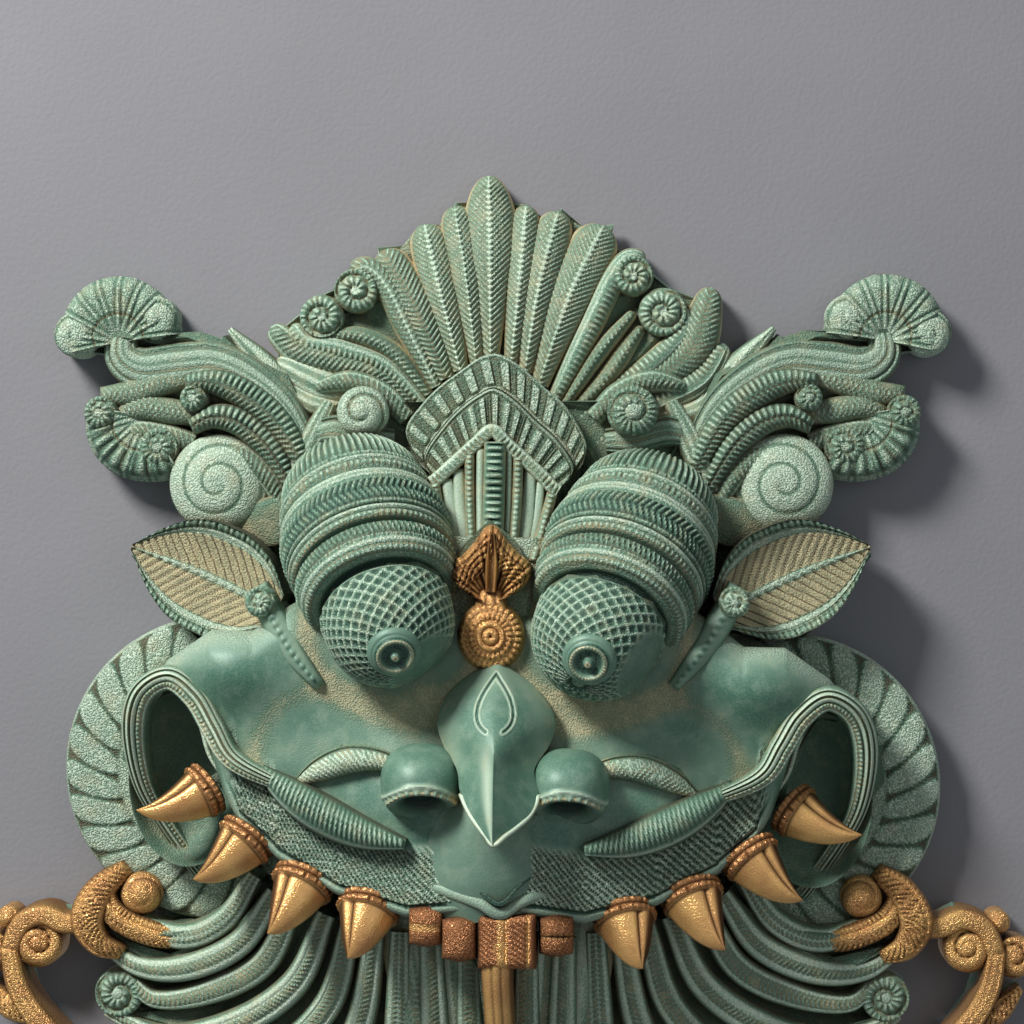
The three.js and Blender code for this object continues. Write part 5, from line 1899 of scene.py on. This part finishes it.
@dataclass(frozen=True)
class Fang:
    """A bent, keeled tooth in a beaded collar.

    Attributes:
        base: Middle of its root on the viewer's right, (x, depth, z), and tip its point.
        radius: Its radius at the root.
        side: 1 for the viewer's right and -1 for the left.
        collar: Share of its length that the collar takes up, and row that of one row of beads.
        pairs: Half the number of beads in a row.
        bend: How far its middle is moved off the straight line.
        around: Points round it.
    """

    base: Triple
    tip: Triple
    radius: float
    side: int
    collar: float = 0.165
    row: float = 0.08
    pairs: int = 14
    bend: Triple = (0, -5, -7.5)
    around: int = 72

    def surface(self) -> Patch:
        """Carries a ring along a bent line.

        Past the collar the radius is 0.96 R (1 - t)^0.9, with t from the collar's edge, and bells of
        the angle round it add a keel, a groove and a ridge. The collar has two rows of beads, which
        are cosines of the angle.
        """
        ends = [np.array([p[0] * self.side, -p[1], p[2] - LEAN * p[0] * self.side])
                for p in (self.base, self.tip)]
        first, last = ends
        middle = first + (last - first) * 0.55 + np.array(self.bend)
        stations = (np.linspace(0, self.collar, 22), np.linspace(self.collar, 1, 36)[1:])
        t = np.concatenate(stations)[:, None]
        line = (1 - t) ** 2 * first + 2 * t * (1 - t) * middle + t**2 * last
        way = unit(np.gradient(line, t[:, 0], axis=0))
        near = unit(np.array([0, -1.0, 0]) - way * -way[:, 1:2])
        side = np.cross(way, near) * self.side
        a = np.arange(self.around)[None, :] * 2 * np.pi / self.around
        past = np.clip((t - 0.16) / 0.84, 0, 1)
        body = np.clip(1 - past, 0.0006, 1) ** 0.9

        def turn(middle: float) -> np.ndarray:
            """How far each point lies from an angle, the short way round."""
            return np.abs((a - middle + np.pi) % (2 * np.pi) - np.pi)

        bells = ((0.12, -1.0, 0.22), (-0.10, -0.62, 0.10), (0.08, 1.25, 0.25))
        keel = sum(high * gauss(turn(where), wide) for high, where, wide in bells)
        collar = 1 - smooth_step(0.15, self.collar, t)
        studs = np.abs(np.cos(self.pairs * a + np.pi / 2 * (t > self.row)))
        rows = np.abs(np.sin(np.pi * t / self.row)) ** 0.6 * (0.2 + 0.8 * studs**0.7)
        radius = self.radius * (body * 0.96 * (1 + keel * (1 - collar)) + collar * (0.03 + 0.13 * rows))
        radius = radius * np.where(a * 0 + t < 0.02, 0.9, 1)
        spoke = np.cos(a)[..., None] * near[:, None] + np.sin(a)[..., None] * side[:, None]
        points = line[:, None] + radius[..., None] * spoke
        bare = 1 - collar
        hollow = np.maximum(gauss(turn(-0.62), 0.09) * bare * smooth_step(1, 0.7, t),
                            collar * (1 - rows) * 0.95)
        hollow = np.maximum(hollow, gauss(t - 0.17, 0.012))
        # Painted shade: the underside is darkened, all but a thin line along it.
        below = smooth_step(0.0, 0.6, np.sin(-a - 0.5)) * 0.9
        hollow = np.maximum(hollow, below * bare * (1 - gauss(turn(-0.8), 0.08)))
        return Patch(points, hollow, 0.75 * collar, 0, 0.08 + 0.2 * collar)


@dataclass(frozen=True)
class Teeth:
    """Four gilt fangs a side, the small front teeth, and the long one that hangs in the middle.

    Attributes:
        fangs: Base, tip and radius of each fang on the viewer's right.
    """

    fangs: Sequence = (
        ((139.5, 46, -193), (174.5, 56, -205), 12.5),
        ((118.5, 56, -214), (145.5, 66, -236), 13.5),
        ((91.5, 60, -233), (108.5, 78, -259), 14.0),
        ((60, 68, -243), (69.5, 86, -268), 14.0),
    )

    def patches(self) -> list[Patch]:
        """The fangs are mirrored, the front teeth are square cushions and the long one is a strand."""
        made = [Fang(*fang, side).surface() for fang in self.fangs for side in SIDES]
        split = (
            Lane(0.04, 0.44, Work.WEAVE, 1, 2.6, 0.9, 0.7), cut(0.46, 0.54, 1.4, hollow=1),
            Lane(0.56, 0.96, Work.WEAVE, 1, 2.6, 0.9, 0.7),
        )
        whole = (Lane(0.04, 0.96, Work.WEAVE, 1, 2.8, 0.9, 0.7),)
        net = (
            smooth(0, 0.14, 1), Lane(0.16, 0.52, Work.WEAVE, 1, 2.6, 0.9, 0.8),
            smooth(0.54, 0.66, 1.2), Lane(0.68, 0.98, Work.WEAVE, 1, 2.6, 0.9, 0.8),
        )
        facet = (cut(0.30, 0.36, 0.9), cut(0.64, 0.70, 0.9))
        teeth = (
            (-32.2, -241, -260.5, 16.5, 86, split), (-16.5, -245.5, -267, 16.5, 89, whole),
            (28.7, -244.5, -264.5, 16, 88, split),
        )
        for x, top, foot, wide, depth, work in teeth:
            middle, tall = (top + foot) / 2, top - foot
            made.append(Strand(
                [(x - wide / 2, middle), (x, middle), (x + wide / 2, middle)],
                (tall * 0.84, tall, tall * 0.84), depth, 8, 2.5, work, floor=50, blunt=(0.8, 0.8),
                grain=1.0, dust=0.9,
            ).surface())
        block = Strand([(5.8, -244), (5.8, -257), (5.8, -270)], 27.5, 90, 5, 5.0, net, floor=50,
                       blunt=(0.15, 0.15), grain=0.6, dust=0.9)
        bar = Strand([(0.5, -258), (0.8, -278), (2, -302), (3, -330)], (15, 13.5, 12.5, 4),
                     (90, 87, 79, 62), 6, 1.3, facet, floor=40, blunt=(0, 0.5), grain=0.2)
        return made + surfaces(block, bar)


@dataclass(frozen=True)
class Beard(Half):
    """The locks that fall from the lip on one side and sweep outwards, and their curls."""

    def patches(self) -> list[Patch]:
        """Locks of ropes and smooth ridges that get lower as they run out."""
        s = self.side
        rope = (
            smooth(0.02, 0.3, 1.2), Lane(0.34, 0.66, Work.ROPE, 1.4, 2.5, 0.6, slant=0.7),
            smooth(0.7, 0.98, 1.2),
        )
        twin = (
            smooth(0.02, 0.24, 1.1), Lane(0.27, 0.48, Work.ROPE, 1.2, 2.5, 0.6, slant=0.6),
            Lane(0.52, 0.73, Work.ROPE, 1.2, 2.5, 0.6, slant=-0.6), smooth(0.76, 0.98, 1.1),
        )
        locks = (
            ([(118, -232), (134, -255), (156, -265), (180, -258), (196, -245)], (8, 12, 13, 11, 6),
             (46, 36, 28, 22, 18), twin),
            ([(108, -240), (126, -266), (154, -280), (180, -280), (201, -265)], (9, 13, 14, 11, 6),
             (48, 38, 29, 22, 18), rope),
            ([(98, -244), (115, -276), (143, -292), (170, -297), (184, -287)], (9, 13, 14, 11, 7),
             (50, 38, 29, 22, 18), twin),
            ([(83, -250), (99, -285), (129, -307), (166, -315), (196, -303)], (10, 14, 15, 12, 7),
             (50, 38, 29, 22, 16), rope),
            ([(71, -254), (83, -295), (110, -322), (147, -336), (180, -334)], (10, 14, 15, 12, 6),
             (50, 38, 28, 20, 14), twin),
            ([(59, -256), (67, -302), (83, -336), (108, -362)], (10, 14, 15, 7), (50, 38, 28, 18), rope),
            ([(47, -258), (50, -312), (57, -351), (70, -380)], (10, 13, 13, 6), (52, 40, 29, 17), twin),
            ([(32, -260), (30, -322), (27, -388)], (12, 15, 8), (54, 42, 18), rope),
            ([(14, -262), (13, -322), (9, -390)], (12, 14, 8), (54, 42, 18), twin),
        )
        parts = [
            self.strand(path, width, depth, 5, 2.0, lanes, step=0.55, across=0.6, blunt=(0, 0.5), dust=0.3,
                        grain=0.5)
            for path, width, depth, lanes in locks
        ]
        curl = Spiral((189 * s, -294), 12, 20, 1.7, facing(-60, s), s, 2.6, COIL, knob=2.5, polish=0.2)
        return surfaces(*parts, curl)


@dataclass(frozen=True)
class Throat:
    """The chin behind the teeth: upright bands of beads and chevrons between smooth ones.

    Attributes:
        bands: How many bands there are.
        pitch: Distance from one to the next, as a share of the chin's width.
        wide: Width of one, in the same way.
    """

    bands: int = 14
    pitch: float = 0.069
    wide: float = 0.062

    def patches(self) -> list[Patch]:
        """One broad strand that falls from the lip to the beard's foot."""
        works = (Work.BEADS, Work.SMOOTH, Work.CHEVRON)
        lanes = []
        for k in range(self.bands):
            start, work = 0.02 + self.pitch * k, works[k % 3]
            dark = 0.0 if work is Work.SMOOTH else 0.8
            lanes.append(Lane(start, start + self.wide, work, 1.1, 3.2, dust=0.6, hollow=dark))
        chin = Strand([(0, -236), (0, -300), (0, -386)], (124, 96, 50), (50, 38, 12), (9, 8, 6), 2.0, lanes,
                      step=1.1, across=1.3, blunt=(0, 0.1), floor=6)
        return surfaces(chin)


@dataclass(frozen=True)
class Arm(Half):
    """One gilt side arm: hook, collar, volutes and the bar that runs back to the beard."""

    def patches(self) -> list[Patch]:
        """Flat-topped strands with ridged edges, and coils."""
        s = self.side
        ridge = (Lane(0.05, 0.95, Work.LINES, 1.3, 3, hollow=0.8),)
        scaled = (
            beads(0.04, 0.2, 1.2, 2.6, hollow=0.9),
            Lane(0.24, 0.8, Work.WEAVE, 1.3, 3, hollow=0.9, slant=0.8), Lane(0.84, 0.98, Work.SMOOTH, 1.2),
        )
        hooked = (
            beads(0.04, 0.3, 1.2, 2.5, hollow=0.9), Lane(0.34, 0.62, Work.SMOOTH, 1.4),
            Lane(0.66, 0.96, Work.WEAVE, 1.2, 2.6, hollow=0.9, slant=0.8),
        )
        locks = (
            ([(150, -262), (162, -265), (176, -262), (190, -254), (194, -243), (186, -234)],
             (8, 12, 13, 13, 11, 8), (25, 27, 28, 28, 27), 3, hooked),
            ([(184, -231), (197, -242), (203, -256), (198, -268), (186, -274)], (8, 14, 17, 14, 7),
             (24, 28, 30, 28, 24), 5, scaled),
            ([(198, -257), (214, -259), (226, -255), (237, -260), (243, -274)], (10, 11, 11, 11, 10),
             (25, 25, 24, 23), 3, ridge),
            ([(243, -270), (239, -290), (227, -309), (204, -330), (172, -344)], (10, 12, 13, 13, 9),
             (23, 23, 23, 22, 18), 3, ridge),
            ([(228, -308), (243, -301), (256, -290)], (6, 13, 4), (19, 20, 14), 3, scaled),
        )
        parts = [
            self.strand(path, width, depth, camber, 2.4, lanes, step=0.6, blunt=(0.3, 0.5), grain=0.8,
                        floor=3)
            for path, width, depth, camber, lanes in locks
        ]
        coils = (
            Spiral((177 * s, -244), 10.5, 26, 1.2, facing(30, s), s, 1.5, (), knob=5, bulge=6, grain=0.8),
            Spiral((229 * s, -269), 12.5, 22, 1.6, facing(70, s), -s, 2.8, (), knob=3, bulge=3, grain=0.8),
            Spiral((252 * s, -274), 10.5, 19, 1.5, facing(130, s), s, 2.6, (), knob=2.5, grain=0.8),
            Spiral((244 * s, -257), 6, 20, 1.0, 90, s, 1.5, (), knob=3, bulge=4, grain=0.8),
        )
        return surfaces(*parts, *coils)


@dataclass(frozen=True)
class Studio:
    """The wall, the floor, the lights and the camera.

    Attributes:
        distance: From the camera to the wall.
        aim: The point of the wall at the middle of the view.
        yaw: How far to the right of it the camera stands, in degrees.
        lit: The point that the lights shine at.
        half: Half the width of the wall and the floor.
        behind: How far behind the plane Y = 0 the wall stands.
        ground: Height of the floor, and top that of the wall's upper edge.
        out: How far the floor comes out.
    """

    distance: float = 1.422
    aim: Point = (0.005, -0.056)
    yaw: float = 2.0
    lit: Triple = (0, -0.03, -0.12)
    half: float = 2.5
    behind: float = 0.0004
    ground: float = -1.4
    top: float = 1.8
    out: float = 3.5

    def plane(self, name: str, corners: Sequence[Triple], paint: Paint) -> None:
        """Adds a flat painted backdrop, which neither blocks nor throws light on the mask.

        Args:
            name: Its name.
            corners: Its four corners, in metres.
            paint: Its paint.
        """
        mesh = bpy.data.meshes.new(name)
        mesh.from_pydata(corners, [], [(0, 1, 2, 3)])
        mesh.materials.append(paint.material())
        made = bpy.data.objects.new(name, mesh)
        made.visible_diffuse = made.visible_glossy = made.visible_shadow = False
        bpy.context.scene.collection.objects.link(made)

    def light(self, name: str, at: Triple, size: float, power: float, colour: Colour) -> None:
        """Adds a square soft light that shines at the mask.

        Args:
            name: Its name.
            at: Where it stands, in metres.
            size: Length of its side.
            power: Its power, in watts.
            colour: Its colour.
        """
        lamp = bpy.data.lights.new(name, "AREA")
        lamp.size, lamp.energy, lamp.color = size, power, colour
        made = bpy.data.objects.new(name, lamp)
        made.location = at
        made.rotation_euler = (Vector(self.lit) - Vector(at)).to_track_quat("-Z", "Y").to_euler()
        bpy.context.scene.collection.objects.link(made)

    def build(self) -> None:
        """Sets everything up round the mask."""
        scene = bpy.context.scene
        wall = Paint("wall_paint", (0.235, 0.236, 0.256))
        floor = Paint("floor_paint", (0.62, 0.61, 0.59))
        left, right, y, z = -self.half, self.half, self.behind, self.ground
        self.plane("wall", [(left, y, z), (right, y, z), (right, y, self.top), (left, y, self.top)], wall)
        self.plane("floor", [(left, -self.out, z), (right, -self.out, z), (right, y, z), (left, y, z)],
                   floor)
        self.light("key", (-1.0, -1.05, 1.15), 0.5, 52, (1.0, 0.98, 0.94))
        self.light("fill", (1.2, -1.7, 0.1), 1.2, 3, (0.95, 0.97, 1.0))
        world = bpy.data.worlds.new("studio")
        world.use_nodes = True
        ground = world.node_tree.nodes["Background"]
        ground.inputs["Color"].default_value = (0.80, 0.84, 0.9, 1)
        ground.inputs["Strength"].default_value = 0.25
        scene.world = world
        scene.view_settings.view_transform = "Standard"
        lens = bpy.data.cameras.new("camera")
        lens.lens, lens.sensor_width = 100, 36
        camera = bpy.data.objects.new("camera", lens)
        turn = math.radians(self.yaw)
        target = Vector((self.aim[0], 0, self.aim[1]))
        camera.location = target + self.distance * Vector((math.sin(turn), -math.cos(turn), 0))
        camera.rotation_euler = (target - camera.location).to_track_quat("-Z", "Y").to_euler()
        scene.collection.objects.link(camera)
        scene.camera = camera


def both(kind: type[Half]) -> list[Patch]:
    """The patches of an assembly's two sides."""
    return [each for side in SIDES for each in kind(side).patches()]


def main() -> None:
    """Builds the mask and its studio."""
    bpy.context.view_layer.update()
    Studio().build()
    foundry = Foundry()
    CastingBody().build(foundry)
    green, gilt = Finish.VERDIGRIS, Finish.GILDING
    pieces = (
        ("crest", green, Crest().patches()),
        ("crown", green, Crown().patches()),
        ("brow_ornament", gilt, BrowOrnament().patches()),
        ("eye_left", green, Eye(-1).patches()),
        ("eye_right", green, Eye(1).patches()),
        ("face", green, Face().patches()),
        ("nose", green, Nose().patches()),
        ("cheeks", green, both(Cheek)),
        ("lobes", green, both(Lobe)),
        ("ears", green, both(Ear)),
        ("wings", green, both(Wing)),
        ("teeth", gilt, Teeth().patches()),
        ("beard", green, both(Beard)),
        ("throat", green, Throat().patches()),
        ("arms", gilt, both(Arm)),
    )
    for name, finish, patches in pieces:
        foundry.cast(name, finish, patches)


if __name__ == "__main__":
    main()
